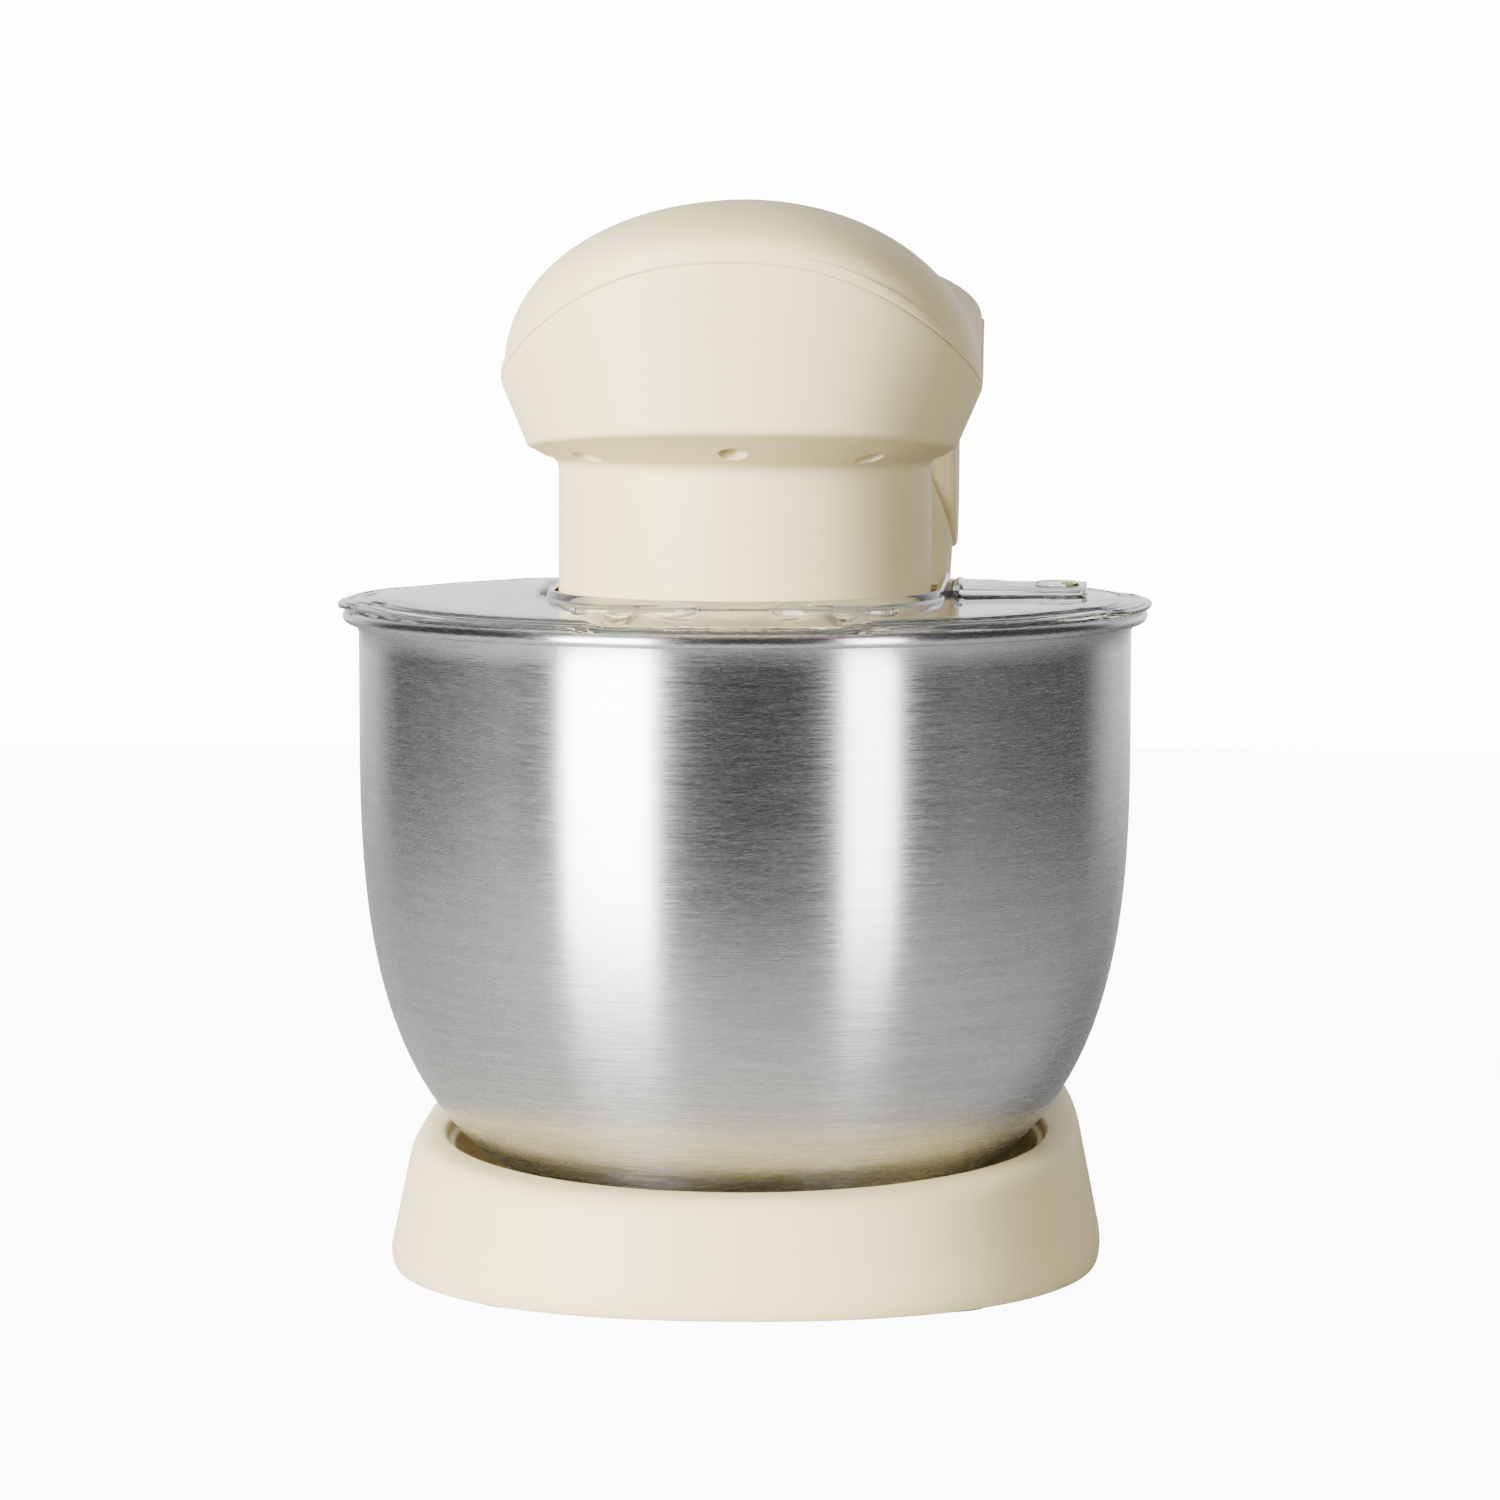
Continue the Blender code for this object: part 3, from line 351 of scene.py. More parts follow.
ledge = curved(well_ring(85.0, 2.4), well_ring(84.9, 3.0), well_ring(84.0, 3.1), 3)
ledge += curved(well_ring(83.6, 3.1), well_ring(82.9, 3.2), well_ring(82.8, 4.0), 3)
tub_under = [flat_ring(0, 8.6), flat_ring(61, 8.6), flat_ring(61, 13.9), flat_ring(70, 14.4, 3),
             flat_ring(84, 23.6, 6), well_ring(88.3, 4.2), tub_ring(11.6, 1.0, -4.0),
             tub_ring(9.0, 0.86), tub_ring(3.4, 0.0), tub_ring(3.4, 0.0, -4.8)]
foot_edge = curved(tub_ring(1.6, 0.0, -4.8), tub_ring(0.2, 0.0, -4.8), tub_ring(0.0, 0.0), 4)
sides = [tub_ring(5.4 * step / 5, 0.8 * step / 5) for step in range(1, 5)]
base = looped("base_and_column", foot_edge + sides + shoulder + mouth + ledge + well_walls
              + pocket_walls + tub_under)

# Front, rear, half-width and height of the column, measured from the bowl's axis
COLUMN = [(107.0, 189.0, 58.2, 80.0), (110.0, 189.8, 56.9, 94.0), (112.5, 190.5, 55.9, 110.0),
          (115.5, 192.0, 54.3, 140.0), (118.2, 194.5, 54.9, 187.0), (119.6, 196.3, 57.6, 214.0),
          (121.0, 197.5, 60.2, 232.0)]


def column_size(z):
    """Front, rear and half-width of the column at a height, by a smooth curve."""
    heights = [section[3] for section in COLUMN]
    fits = [np.polynomial.Polynomial.fit(heights, [section[i] for section in COLUMN], 4)
            for i in range(3)]
    return [float(one(z)) for one in fits]


def column_ring(level, inset=0.0):
    """A ring of the column; low rings flare into the tub and lie along its top face."""
    tub_top, straight_from = 46, 78.0
    flare_reach, lean_reach = 30.0, 55
    flare = max(1 - max(level - tub_top, -6) / flare_reach, 0) ** 2.4
    lean = max(1 - max(level - tub_top, 0) / lean_reach, 0) ** 2
    front, rear, half = column_size(max(level, straight_from))
    stretch = max(straight_from - level, 0)
    front += bowl_y - 0.16 * stretch - 5.5 * flare + inset
    rear += bowl_y - 0.05 * stretch + 1.2 * flare - inset
    half += 0.1 * stretch + 7.0 * flare - inset
    outline = egg(front, rear, (front + rear) / 2, half, 3.0, 3.0, 128)
    return [(x, y, level + (rim_z(y) - tub_top) * lean) for x, y in outline]


def cut_away(piece, *tools, operation="DIFFERENCE"):
    """Take tools out of a piece, or add them to it, and drop the tools."""
    for tool in tools:
        change = piece.modifiers.new("shape", "BOOLEAN")
        change.operation = operation
        change.solver = "EXACT"
        change.object = tool
    bpy.context.view_layer.update()
    ready = piece.evaluated_get(bpy.context.evaluated_depsgraph_get())
    mesh = bpy.data.meshes.new_from_object(ready)
    piece.modifiers.clear()
    piece.data = mesh
    mesh.shade_smooth()
    mesh.set_sharp_from_angle(angle=math.radians(32))
    for tool in tools:
        bpy.data.objects.remove(tool, do_unlink=True)


def rod(radius, low, high, centre, axis="Z", steps=96):
    return turned("rod", [(0, low), (radius, low), (radius, high), (0, high)], centre, axis,
                  steps)


def block(low, high):
    rings = [[(x, y, z) for x, y in ((low[0], low[1]), (high[0], low[1]), (high[0], high[1]),
                                     (low[0], high[1]))] for z in (low[2], high[2])]
    return looped("block", rings, False)


def block_pair(near, far, low, high):
    """A block on each side, from near to far in X, between two (y, z) corners."""
    return [block((min(side * near, side * far), *low), (max(side * near, side * far), *high))
            for side in (-1, 1)]


levels = [34, 40, 43, 44.5] + [46 + 2 * step for step in range(16)] + list(range(80, 233, 4))
column = looped("column", [column_ring(level) for level in levels], False)
shaft = looped("shaft", [column_ring(level, 3.0) for level in [12, 34, 46, 60, 80] +
                         list(range(96, 233, 8))], False)
hinge_at = (0, hinge_y, hinge_z)
cut_away(shaft, rod(40, -90, 90, hinge_at, "X"))
cut_away(base, column, operation="UNION")
dial_low, dial_high = box_mm("speed_dial")
dial_at = (0, (dial_low.y + dial_high.y) / 2, (dial_low.z + dial_high.z) / 2)
lever_low = box_mm("release_lever")[0]
lever_at = (0, *joint_spot("release_turn")[1:])
cord_low, cord_high = box_mm("cord_grommet")
cord_at = (0, 0, (cord_low.z + cord_high.z) / 2)
dial_pad = turned("pad", soften([(20, 49.3), (27.6, 49.3), (27, 61.8), (20, 61.8), (20, 49.3)],
                                1.0), dial_at, "X")
lever_pad = turned("pad", soften([(8, -49.7), (13.4, -49.7), (13, -60.5), (8, -60.5),
                                  (8, -49.7)], 0.8), lever_at, "X")
cut_away(base, shaft, rod(37, -90, 90, hinge_at, "X", 160),
         rod(23.5, 40, 70, dial_at, "X"), rod(10, -70, -40, lever_at, "X"),
         rod(5.6, base_high.y - 22, base_high.y + 10, cord_at, "Y", 48),
         rod(8.6, cord_low.y + 8.6, base_high.y + 10, cord_at, "Y", 48))
cut_away(base, dial_pad, lever_pad, operation="UNION")
cut_away(base, *block_pair(23.4, 28.6, (hinge_y - 14.6, hinge_z - 48),
                           (hinge_y + 14.6, hinge_z)))
fit(base, "stand", "cream_plastic", cream, "base_housing")

# ---- Base plate and cord entry
# A flat black plate closes the tub from below and carries the feet. The grommet at the
# back is a ribbed rubber ring that protects the mains lead where it enters.

black = Finish("black_moulding", Roughness=0.5, IOR=1.5)
black_cloud = black.grain(9.0, 3)
black.tint(black_cloud, (0.02, 0.02, 0.021), (0.032, 0.032, 0.033))
black.vary("Roughness", 0.42 + 0.16 * black_cloud)
black.relief(black.grain(0.6, 2), 0.04, 0.6)
dress(black, "base_plate", "speed_switch", "brush_holder_left", "brush_holder_right",
      "cooling_fan")

grommet_ribs = [(5.2, 0.1), (5.2, 8.9), (8.0, 8.9), (8.0, 10.2), (7.1, 10.6), (7.1, 11.0),
                (6.6, 11.6), (3.6, 11.6), (3.6, 0.1), (5.2, 0.1)]
grommet = turned("cord_grommet_ring", soften(grommet_ribs, 0.4, 3), (0, cord_low.y, cord_at[2]),
                 "Y", 64)
fit(grommet, "stand", "rubber", rubber, "cord_grommet")

# ---- Bowl seat
# A white nylon bayonet ring screwed into the pocket of the well. Three lips with gaps
# between them catch the lugs on the bowl's foot when the bowl is twisted.

nylon = Finish("natural_nylon", Roughness=0.42, IOR=1.53, Subsurface_Weight=0.05)
nylon_cloud = nylon.grain(14.0, 3)
nylon.tint(nylon_cloud, (0.66, 0.645, 0.585), (0.73, 0.715, 0.66))
nylon.vary("Roughness", 0.36 + 0.12 * nylon_cloud)
nylon.relief(nylon.grain(0.4, 2), 0.03, 0.5)
dress(nylon, "ring_gear", "carrier_gear", "planet_pinion", "worm_wheel")

seat_low, seat_high = box_mm("bowl_seat")
seat_radius = (seat_high.x - seat_low.x) / 2
bowl_at = (0, bowl_y, 0)


def moved(x, y, z):
    """A move by so many millimetres."""
    return Matrix.Translation(Vector((x, y, z)) * MM)


seat_outline = soften([
    (40, 12.4), (40, 13.2), (53.4, 13.2), (53.4, 16.8), (48.8, 16.8), (48.8, seat_high.z),
    (seat_radius - 1, seat_high.z), (seat_radius, 18.4), (seat_radius, seat_low.z),
    (40, seat_low.z), (40, 12.4)], 0.35, 2)
seat = turned("bayonet_seat", seat_outline, bowl_at, steps=144)
for third in range(3):
    way = math.radians(60 + 120 * third)
    lip_gap = block((-8, -14.5, 13.4), (8, 14.5, 22))
    lip_gap.data.transform(moved(*bowl_at) @ Matrix.Rotation(way, 4, "Z") @ moved(50, 0, 0))
    cut_away(seat, lip_gap)
fit(seat, "stand", "nylon", nylon, "bowl_seat")

# ---- Bowl
# Spun from one disc of stainless steel: a flat floor, a round lower wall, a straight upper
# wall and a rolled rim. It is brushed while it spins, so fine lines run round it. A turned
# foot ring with three bayonet lugs is spot welded under the floor.


class Recipe(Board):
    """A Geometry Nodes tree with named inputs, turned into a plain mesh when it is served."""

    def __init__(self, name, **inputs):
        super().__init__(bpy.data.node_groups.new(name, "GeometryNodeTree"))
        self.values = inputs
        kinds = {int: "NodeSocketInt", float: "NodeSocketFloat",
                 bpy.types.Material: "NodeSocketMaterial", Vector: "NodeSocketVector"}
        for label, value in inputs.items():
            self.tree.interface.new_socket(label, in_out="INPUT", socket_type=kinds[type(value)])
        self.tree.interface.new_socket("Mesh", in_out="OUTPUT",
                                       socket_type="NodeSocketGeometry")
        self.source = self.tree.nodes.new("NodeGroupInput")

    def __getitem__(self, label):
        return Wire(self, self.source.outputs[label])

    def serve(self, name, mesh, smooth=True, sharp=32):
        """Finish the tree with real meshes and a material, run it and keep the result."""
        real = self.node("GeometryNodeRealizeInstances", {}, {"Geometry": mesh})
        painted = self.node("GeometryNodeSetMaterial", {}, {
            "Geometry": real, "Material": self["finish"]})
        self.node("NodeGroupOutput", {}, {"Mesh": painted}, None)
        piece = bpy.data.objects.new(name, bpy.data.meshes.new(name))
        bpy.context.scene.collection.objects.link(piece)
        change = piece.modifiers.new("recipe", "NODES")
        change.node_group = self.tree
        for item in self.tree.interface.items_tree:
            if item.in_out == "INPUT":
                change[item.identifier] = self.values[item.name]
        bpy.context.view_layer.update()
        ready = piece.evaluated_get(bpy.context.evaluated_depsgraph_get())
        made = bpy.data.meshes.new_from_object(ready)
        piece.modifiers.clear()
        shape = bmesh.new()
        shape.from_mesh(made)
        bmesh.ops.remove_doubles(shape, verts=shape.verts, dist=0.000002)
        bmesh.ops.dissolve_degenerate(shape, dist=0.000002, edges=shape.edges)
        bmesh.ops.recalc_face_normals(shape, faces=shape.faces)
        shape.to_mesh(made)
        shape.free()
        made.name = name
        piece.data = made
        if smooth:
            made.shade_smooth()
            made.set_sharp_from_angle(angle=math.radians(sharp))
        return piece


brushed = Finish("brushed_stainless", Metallic=1.0, Anisotropic=0.92, Anisotropic_Rotation=0.25)
fine_lines = brushed.grain(1.0, 4, (0.09, 0.09, 2.8), 0.7)
broad_lines = brushed.grain(1.0, 3, (0.02, 0.02, 0.5), 0.6)
bowl_cloud = brushed.grain(45.0, 3)
brushed.tint(0.6 * fine_lines + 0.4 * broad_lines, (0.27, 0.27, 0.27), (0.75, 0.75, 0.75))
brushed.vary("Roughness", 0.14 + 0.22 * fine_lines + 0.03 * bowl_cloud)
brushed.relief(fine_lines, 0.004, 0.4)

rim_radius = bowl_high.x
rim_bead = 1.9
spun = Recipe("spun_bowl", wall_radius=108.9 * MM, widest=160.0 * MM, depth=143.0 * MM,
              floor_height=bowl_low.z * MM, top_height=(bowl_high.z - 2.6) * MM,
              flare=1.3 * MM, steps=257, rows=72, finish=brushed.material)
sheet = spun.node("GeometryNodeMeshGrid", {}, {
    "Size X": 1.0, "Size Y": 1.0, "Vertices X": spun["steps"], "Vertices Y": spun["rows"]})
spot = spun.node("GeometryNodeInputPosition", {}, {})
around = spun.node("ShaderNodeSeparateXYZ", {}, {0: spot}, 0) * (2 * math.pi)
climb = spun.node("ShaderNodeSeparateXYZ", {}, {0: spot}, 1) + 0.5
floor_share = 0.14
on_wall = spun.node("ShaderNodeMapRange", {}, {
    "Value": climb, "From Min": floor_share, "From Max": 1.0})
on_floor = spun.node("ShaderNodeMapRange", {}, {
    "Value": climb, "From Min": 0.0, "From Max": floor_share})
height = spun["floor_height"] + (spun["top_height"] - spun["floor_height"]) * on_wall ** 1.5
below = spun.node("ShaderNodeMath", {"operation": "MAXIMUM"}, {
    0: (spun["widest"] - height) / spun["depth"], 1: 0.0})
swell = spun.node("ShaderNodeMapRange", {"interpolation_type": "SMOOTHSTEP"}, {
    "Value": height, "From Min": spun["top_height"] - 0.0015, "From Max": spun["top_height"]})
reach = spun["wall_radius"] * (1 - below ** 3) ** (1 / 3) * on_floor + spun["flare"] * swell
turned_spot = spun.node("ShaderNodeCombineXYZ", {}, {
    0: reach * spun.node("ShaderNodeMath", {"operation": "COSINE"}, {0: around}),
    1: reach * spun.node("ShaderNodeMath", {"operation": "SINE"}, {0: around}), 2: height})
wall_sheet = spun.node("GeometryNodeSetPosition", {}, {"Geometry": sheet, "Position": turned_spot})
bowl = spun.serve("mixing_bowl", wall_sheet)
bowl.data.transform(moved(*bowl_at))
thick = bowl.modifiers.new("gauge", "SOLIDIFY")
thick.thickness = 1.0 * MM
thick.offset = -1 if bowl.data.polygons[0].normal.z < 0 else 1
bead = turned("bead", [(rim_radius - rim_bead + rim_bead * math.cos(math.radians(15 * step)),
                        bowl_high.z - rim_bead + rim_bead * math.sin(math.radians(15 * step)))
                       for step in range(24)], bowl_at, steps=256)
cut_away(bowl, bead, operation="UNION")
fit(bowl, "bowl", "brushed_steel", brushed, "bowl")

bright = Finish("ground_steel", Metallic=1.0)
turning = bright.grain(0.35, 2, (1, 1, 1), 0.6)
bright_cloud = bright.grain(8.0, 3)
bright.tint(bright_cloud, (0.56, 0.56, 0.565), (0.68, 0.68, 0.685))
bright.vary("Roughness", 0.16 + 0.1 * turning + 0.06 * bright_cloud)
bright.relief(turning, 0.008, 0.4)
dress(bright, "motor_shaft", "layshaft", "carrier_shaft", "carrier_bearing", "hinge_pin",
      "motor_bearing_front", "motor_bearing_rear", "cover_screw_left", "cover_screw_front",
      "cover_screw_right", "dial_spindle")

foot_low, foot_high = box_mm("bowl_foot_ring")
foot_ring = turned("bowl_foot", soften([
    (42.5, foot_high.z), (47.6, foot_high.z), (47.6, foot_low.z), (44.5, foot_low.z),
    (44.5, 18.4), (42.5, 18.4), (42.5, foot_high.z)], 0.6, 3), bowl_at, steps=144)
lugs = []
for third in range(3):
    way = math.radians(30 + 120 * third)
    lug = block((44.4, -9, 13.8), (52.3, 9, 16.1))
    lug.data.transform(moved(*bowl_at) @ Matrix.Rotation(way, 4, "Z"))
    lugs.append(lug)
cut_away(foot_ring, *lugs, operation="UNION")
fit(foot_ring, "bowl", "brushed_steel", bright, "bowl_foot_ring")

# ---- Lower housing of the head
# The underside of the head, moulded in the same cream plastic: a band that narrows
# downwards, a floor that dips to the round turret over the bowl, and at the back the drum
# that turns in the saddle. Three cover screws sit in wells, and slots let the motor breathe.

head_low, head_high = box_mm("lower_housing")
cover_high = box_mm("top_cover")[1]
turret_foot = head_low.z
turret_radius = 52.5
head_wall = 2.5
head_half = head_high.x
head_front = head_low.y
head_floor = 233.0
drum_radius = 36.0
drum_half = 57.0
nose_length = 65.0
tail_length = 14.0
join_gap = 0.3


def seam_height(y):
    """The joint line climbs over the nose, runs level, and climbs again at the back."""
    climb = 36.5 * (max(bowl_y + 5 - y, 0) / 85.0) ** 2.35
    back = min(max((y - bowl_y - 75) / 70.0, 0), 1)
    return 249.2 + climb + 12.8 * back * back * (3 - 2 * back)


def head_outline(front, rear, half, taper=2.0):
    """Plan outline of the head: a round nose, straight sides and softly squared back."""
    power = 2.3
    side = []
    for angle in range(4, 88, 3):
        share = math.cos(math.radians(angle))
        side.append((half * (1 - share ** power) ** (1 / power),
                     front + nose_length * (1 - share)))
    nose_end, tail_start = front + nose_length, rear - tail_length
    for step in range(25):
        share = step / 24
        side.append((half - taper * share, nose_end + share * (tail_start - nose_end)))
    for angle in range(8, 90, 8):
        share = math.sin(math.radians(angle))
        side.append((half - taper - tail_length * (1 - math.cos(math.radians(angle))),
                     tail_start + share * tail_length))
    inset = half - taper - tail_length
    side += [(inset * (1 - step / 8), rear) for step in range(1, 8)]
    return [(0.0, front)] + side + [(0.0, rear)] + [(-x, y) for x, y in reversed(side)]


def drum_rear(z):
    return hinge_y + math.sqrt(drum_radius ** 2 - (z - hinge_z) ** 2)


def band_ring(share, inset=0.0, lift=0.0):
    """A ring of the head wall, from the seam (share 0) down to its lower edge (share 1)."""
    rear = drum_rear(262.0 - share * (262.0 - head_floor)) - inset
    outline = head_outline(head_front + 2.0 * share + inset, rear,
                           head_half - 7.2 * share - inset, 2.0 - 2.0 * share)
    ring = []
    for x, y in outline:
        edge = head_floor + 6.5 * (max(bowl_y - 8 - y, 0) / 70.0) ** 1.3
        top = seam_height(y) - join_gap / 2
        ring.append((x, y, top + (edge - top) * share + lift))
    return ring


def turret_ring(radius, z_near, z_rear=None):
    """Points of a round ring, one for each point of the head outline."""
    ring = []
    for x, y, z in band_ring(1.0):
        way = math.atan2(y - bowl_y, x)
        px, py = radius * math.cos(way), radius * math.sin(way)
        rise = 0 if z_rear is None else (z_rear - z_near) * min(max(py / radius, 0), 1)
        ring.append((px, bowl_y + py, z_near + rise))
    return ring


def between(first, second, share):
    return [tuple(a + (b - a) * share for a, b in zip(p, q)) for p, q in zip(first, second)]


lower_edge = band_ring(1.0)
under = turret_ring(turret_radius + 4.0, 230.6, head_floor)
bore = turret_radius - head_wall
head_rings = curved(band_ring(0.0, 0.5), band_ring(0.0), band_ring(0.02), 2)
head_rings += [band_ring(0.94 * step / 9) for step in range(1, 10)]
head_rings += curved(band_ring(0.955), lower_edge, between(lower_edge, under, 0.08), 5)
head_rings += [between(lower_edge, under, share) for share in (0.3, 0.6, 0.85)]
head_rings += curved(under, turret_ring(turret_radius, 230.0, head_floor - 0.6),
                     turret_ring(turret_radius, 226.5), 6)
head_rings += [turret_ring(turret_radius, z) for z in (220, 210, 200, 190.5)]
head_rings += curved(turret_ring(turret_radius, turret_foot + 1.4),
                     turret_ring(turret_radius, turret_foot),
                     turret_ring(turret_radius - 1.2, turret_foot), 4)
head_rings += [turret_ring(bore, turret_foot), turret_ring(bore, 210),
               turret_ring(bore, 233.2, 235.6), band_ring(1.0, head_wall, head_wall),
               band_ring(0.5, head_wall), band_ring(0.0, head_wall)]
lower = looped("lower_housing_shell", head_rings)

drum_outline = soften([(0, -drum_half), (drum_radius, -drum_half), (drum_radius, drum_half),
                       (0, drum_half)], 2.2, 6)
drum = turned("drum", drum_outline, hinge_at, "X", 144)
cut_away(drum, block((-70, hinge_y - 50, head_floor + 1), (70, hinge_y + 50, hinge_z + 60)))
drum_room = rod(drum_radius - head_wall, head_wall - drum_half, drum_half - head_wall,
                hinge_at, "X")
cut_away(drum_room, block((-70, hinge_y - 50, head_floor + head_wall + 0.2),
                          (70, hinge_y + 50, hinge_z + 60)))
screw_spots = []
for place in ("left", "front", "right"):
    screw_low, screw_high = box_mm("cover_screw_" + place)
    middle = (screw_low + screw_high) / 2
    screw_spots.append((middle.x, middle.y))
posts = [rod(5.6, 234.2 + 2.4 * (y < bowl_y - 60), 256, (x, y, 0), steps=40)
         for x, y in screw_spots]
cut_away(lower, drum, *posts, operation="UNION")
wells = [turned("well", soften([(0, 220), (4.4, 220), (4.4, 229), (3.65, 241), (3.65, 244),
                                (2.0, 244), (2.0, 258), (0, 258)], 0.2, 1), (x, y, 0), steps=48)
         for x, y in screw_spots]
ear_paths = block_pair(20, 32, (hinge_y - 17, hinge_z - 42), (hinge_y + 34.6, hinge_z - 13))
cut_away(lower, drum_room, *wells, *ear_paths)


def bar_row(name, count, pitch, bar, finish):
    """A straight row of equal bars, by their count, pitch and size in millimetres."""
    row = Recipe(name + "_row", count=count, pitch=Vector(pitch) * MM, bar=Vector(bar) * MM,
                 finish=finish.material)
    line = row.node("GeometryNodeMeshLine", {}, {"Count": row["count"], "Offset": row["pitch"]})
    cube = row.node("GeometryNodeMeshCube", {}, {"Size": row["bar"]})
    bars = row.node("GeometryNodeInstanceOnPoints", {}, {"Points": line, "Instance": cube})
    return row.serve(name, bars, False)


def twin(piece, name):
    """A second piece with its own copy of the mesh."""
    other = bpy.data.objects.new(name, piece.data.copy())
    bpy.context.scene.collection.objects.link(other)
    return other


slot_cutter = bar_row("slot_cutter", 13, (0, 3.4, 0), (5.0, 1.5, 9.0), cream)
slot_cutter.data.transform(moved(-59.2, bowl_y - 18, 234))
slot_twin = twin(slot_cutter, "slot_twin")
slot_twin.data.transform(moved(118.4, 62, 0))
cut_away(lower, slot_cutter)
cut_away(lower, slot_twin)
fit(lower, "head", "cream_plastic", cream, "lower_housing")

# ---- Top cover of the head
# One smooth cream dome. Its lip stands straight on the joint line, a soft crease above the
# lip starts the dome, and three hollow posts inside take the screws from below.


def ridge_height(y):
    """Top line of the head, highest over the bowl."""
    along = (y - bowl_y) / 100.0
    return cover_high.z + 0.06 - 11.0 * max(along, 0) ** 1.9 - 3.0 * max(-along, 0) ** 2


def cover_outline(inset, taper=2.0):
    return head_outline(head_front + inset, drum_rear(262.0) - inset, head_half - inset, taper)


def lip_ring(inset, lift):
    return [(x, y, seam_height(y) + lift) for x, y in cover_outline(inset)]


def dome_ring(share, inset, lift):
    """Rings from just above the lip up to the ridge line, on a quarter ellipse."""
    across, up = math.cos(share * math.pi / 2), math.sin(share * math.pi / 2)
    ring = []
    for x, y in cover_outline(inset):
        spine = min(max(y, bowl_y - 22), bowl_y + 118)
        low = seam_height(y) + 3.4
        high = ridge_height(spine) - lift
        ring.append((x * across, spine + (y - spine) * across, low + (high - low) * up))
    return ring


crease = 3.1
lip_gap_height = 0.15
rows = [step / 30 for step in range(31)]
cover_rings = [dome_ring(share, 0.8, 0.0) for share in reversed(rows)]
cover_rings += curved(lip_ring(0.75, crease + 0.25), lip_ring(0.55, crease),
                      lip_ring(0.1, crease - 0.15), 3)
cover_rings += curved(lip_ring(0.0, crease - 0.6), lip_ring(0.0, 1.6), lip_ring(0.0, 0.6), 2)
cover_rings += curved(lip_ring(0.0, 0.5), lip_ring(0.0, lip_gap_height),
                      lip_ring(0.4, lip_gap_height), 2)
cover_rings += [lip_ring(head_wall, lip_gap_height)]
cover_rings += [dome_ring(share, head_wall, head_wall) for share in rows[::3]]
cover = looped("top_cover_shell", cover_rings, False)
soft_top = cover.vertex_groups.new(name="soft_top")
for vertex in cover.data.vertices:
    x, y, z = vertex.co / MM
    rise = min(max((z - seam_height(y) - 7) / 14, 0), 1)
    rear = min(max((y - bowl_y - 60) / 40, 0), 1)
    soft_top.add([vertex.index], rise * (0.25 + 0.75 * rear), "REPLACE")
ease = cover.modifiers.new("ease", "SMOOTH")
ease.vertex_group = "soft_top"
ease.iterations = 14
ease.factor = 0.5
post_tops = (285, 292.5, 286)
posts = [turned("post", [(0, top), (4.6, top), (4.6, 257.5), (2.0, 257.5), (2.0, 275), (0, 275)],
                (x, y, 0), steps=32) for (x, y), top in zip(screw_spots, post_tops)]
cut_away(cover, *posts, operation="UNION")
fit(cover, "head", "cream_plastic", cream, "top_cover")

# ---- Splash guard
# A thin clear disc moulded in one piece. A slot at the back lets it slide in round the
# turret, and a shallow tray at the front takes what is poured. It is lifted off by tabs at
# its sides, and a skirt under it keeps it centred. Ribbed rails stiffen the slot.

clear = Finish("clear_moulding", IOR=1.49, Transmission_Weight=0.97,
               Base_Color=(0.97, 0.98, 0.985, 1))
clear_cloud = clear.grain(30.0, 2)
clear.vary("Roughness", 0.01 + 0.03 * clear_cloud)
clear.relief(clear_cloud, 0.03, 0.2)

guard_top = 190.4
guard_gauge = 1.6
slot_half = 54.0
tab_reach = box_mm("splash_guard")[1].x - 0.2
plain_reach = 111.6
flap_low, flap_high = box_mm("filler_flap")
hatch_low = Vector((61.0, bowl_y + 6.0))
hatch_high = Vector((94.0, bowl_y + 42.0))


def smooth_step(value, low, high):
    share = min(max((value - low) / (high - low), 0), 1)
    return share * share * (3 - 2 * share)


def slot_edge(share):
    """A point along the slot: rear right, forward, round the turret, and back again."""
    straight = 93.0
    bend = math.pi * slot_half
    run = share * (2 * straight + bend)
    if run < straight:
        return slot_half, straight - run
    if run > straight + bend:
        return -slot_half, run - straight - bend
    way = -(run - straight) / slot_half
    return slot_half * math.cos(way), slot_half * math.sin(way)


def outer_edge(share):
    """A point on the rim of the disc, with a lifting tab on each side."""
    start = math.radians(60.5)
    way = start - share * (math.pi + 2 * start)
    side = abs(math.cos(way + math.radians(4)))
    reach = plain_reach + (tab_reach - plain_reach) * smooth_step(side, 0.93, 0.965)
    return reach * math.cos(way), reach * math.sin(way)


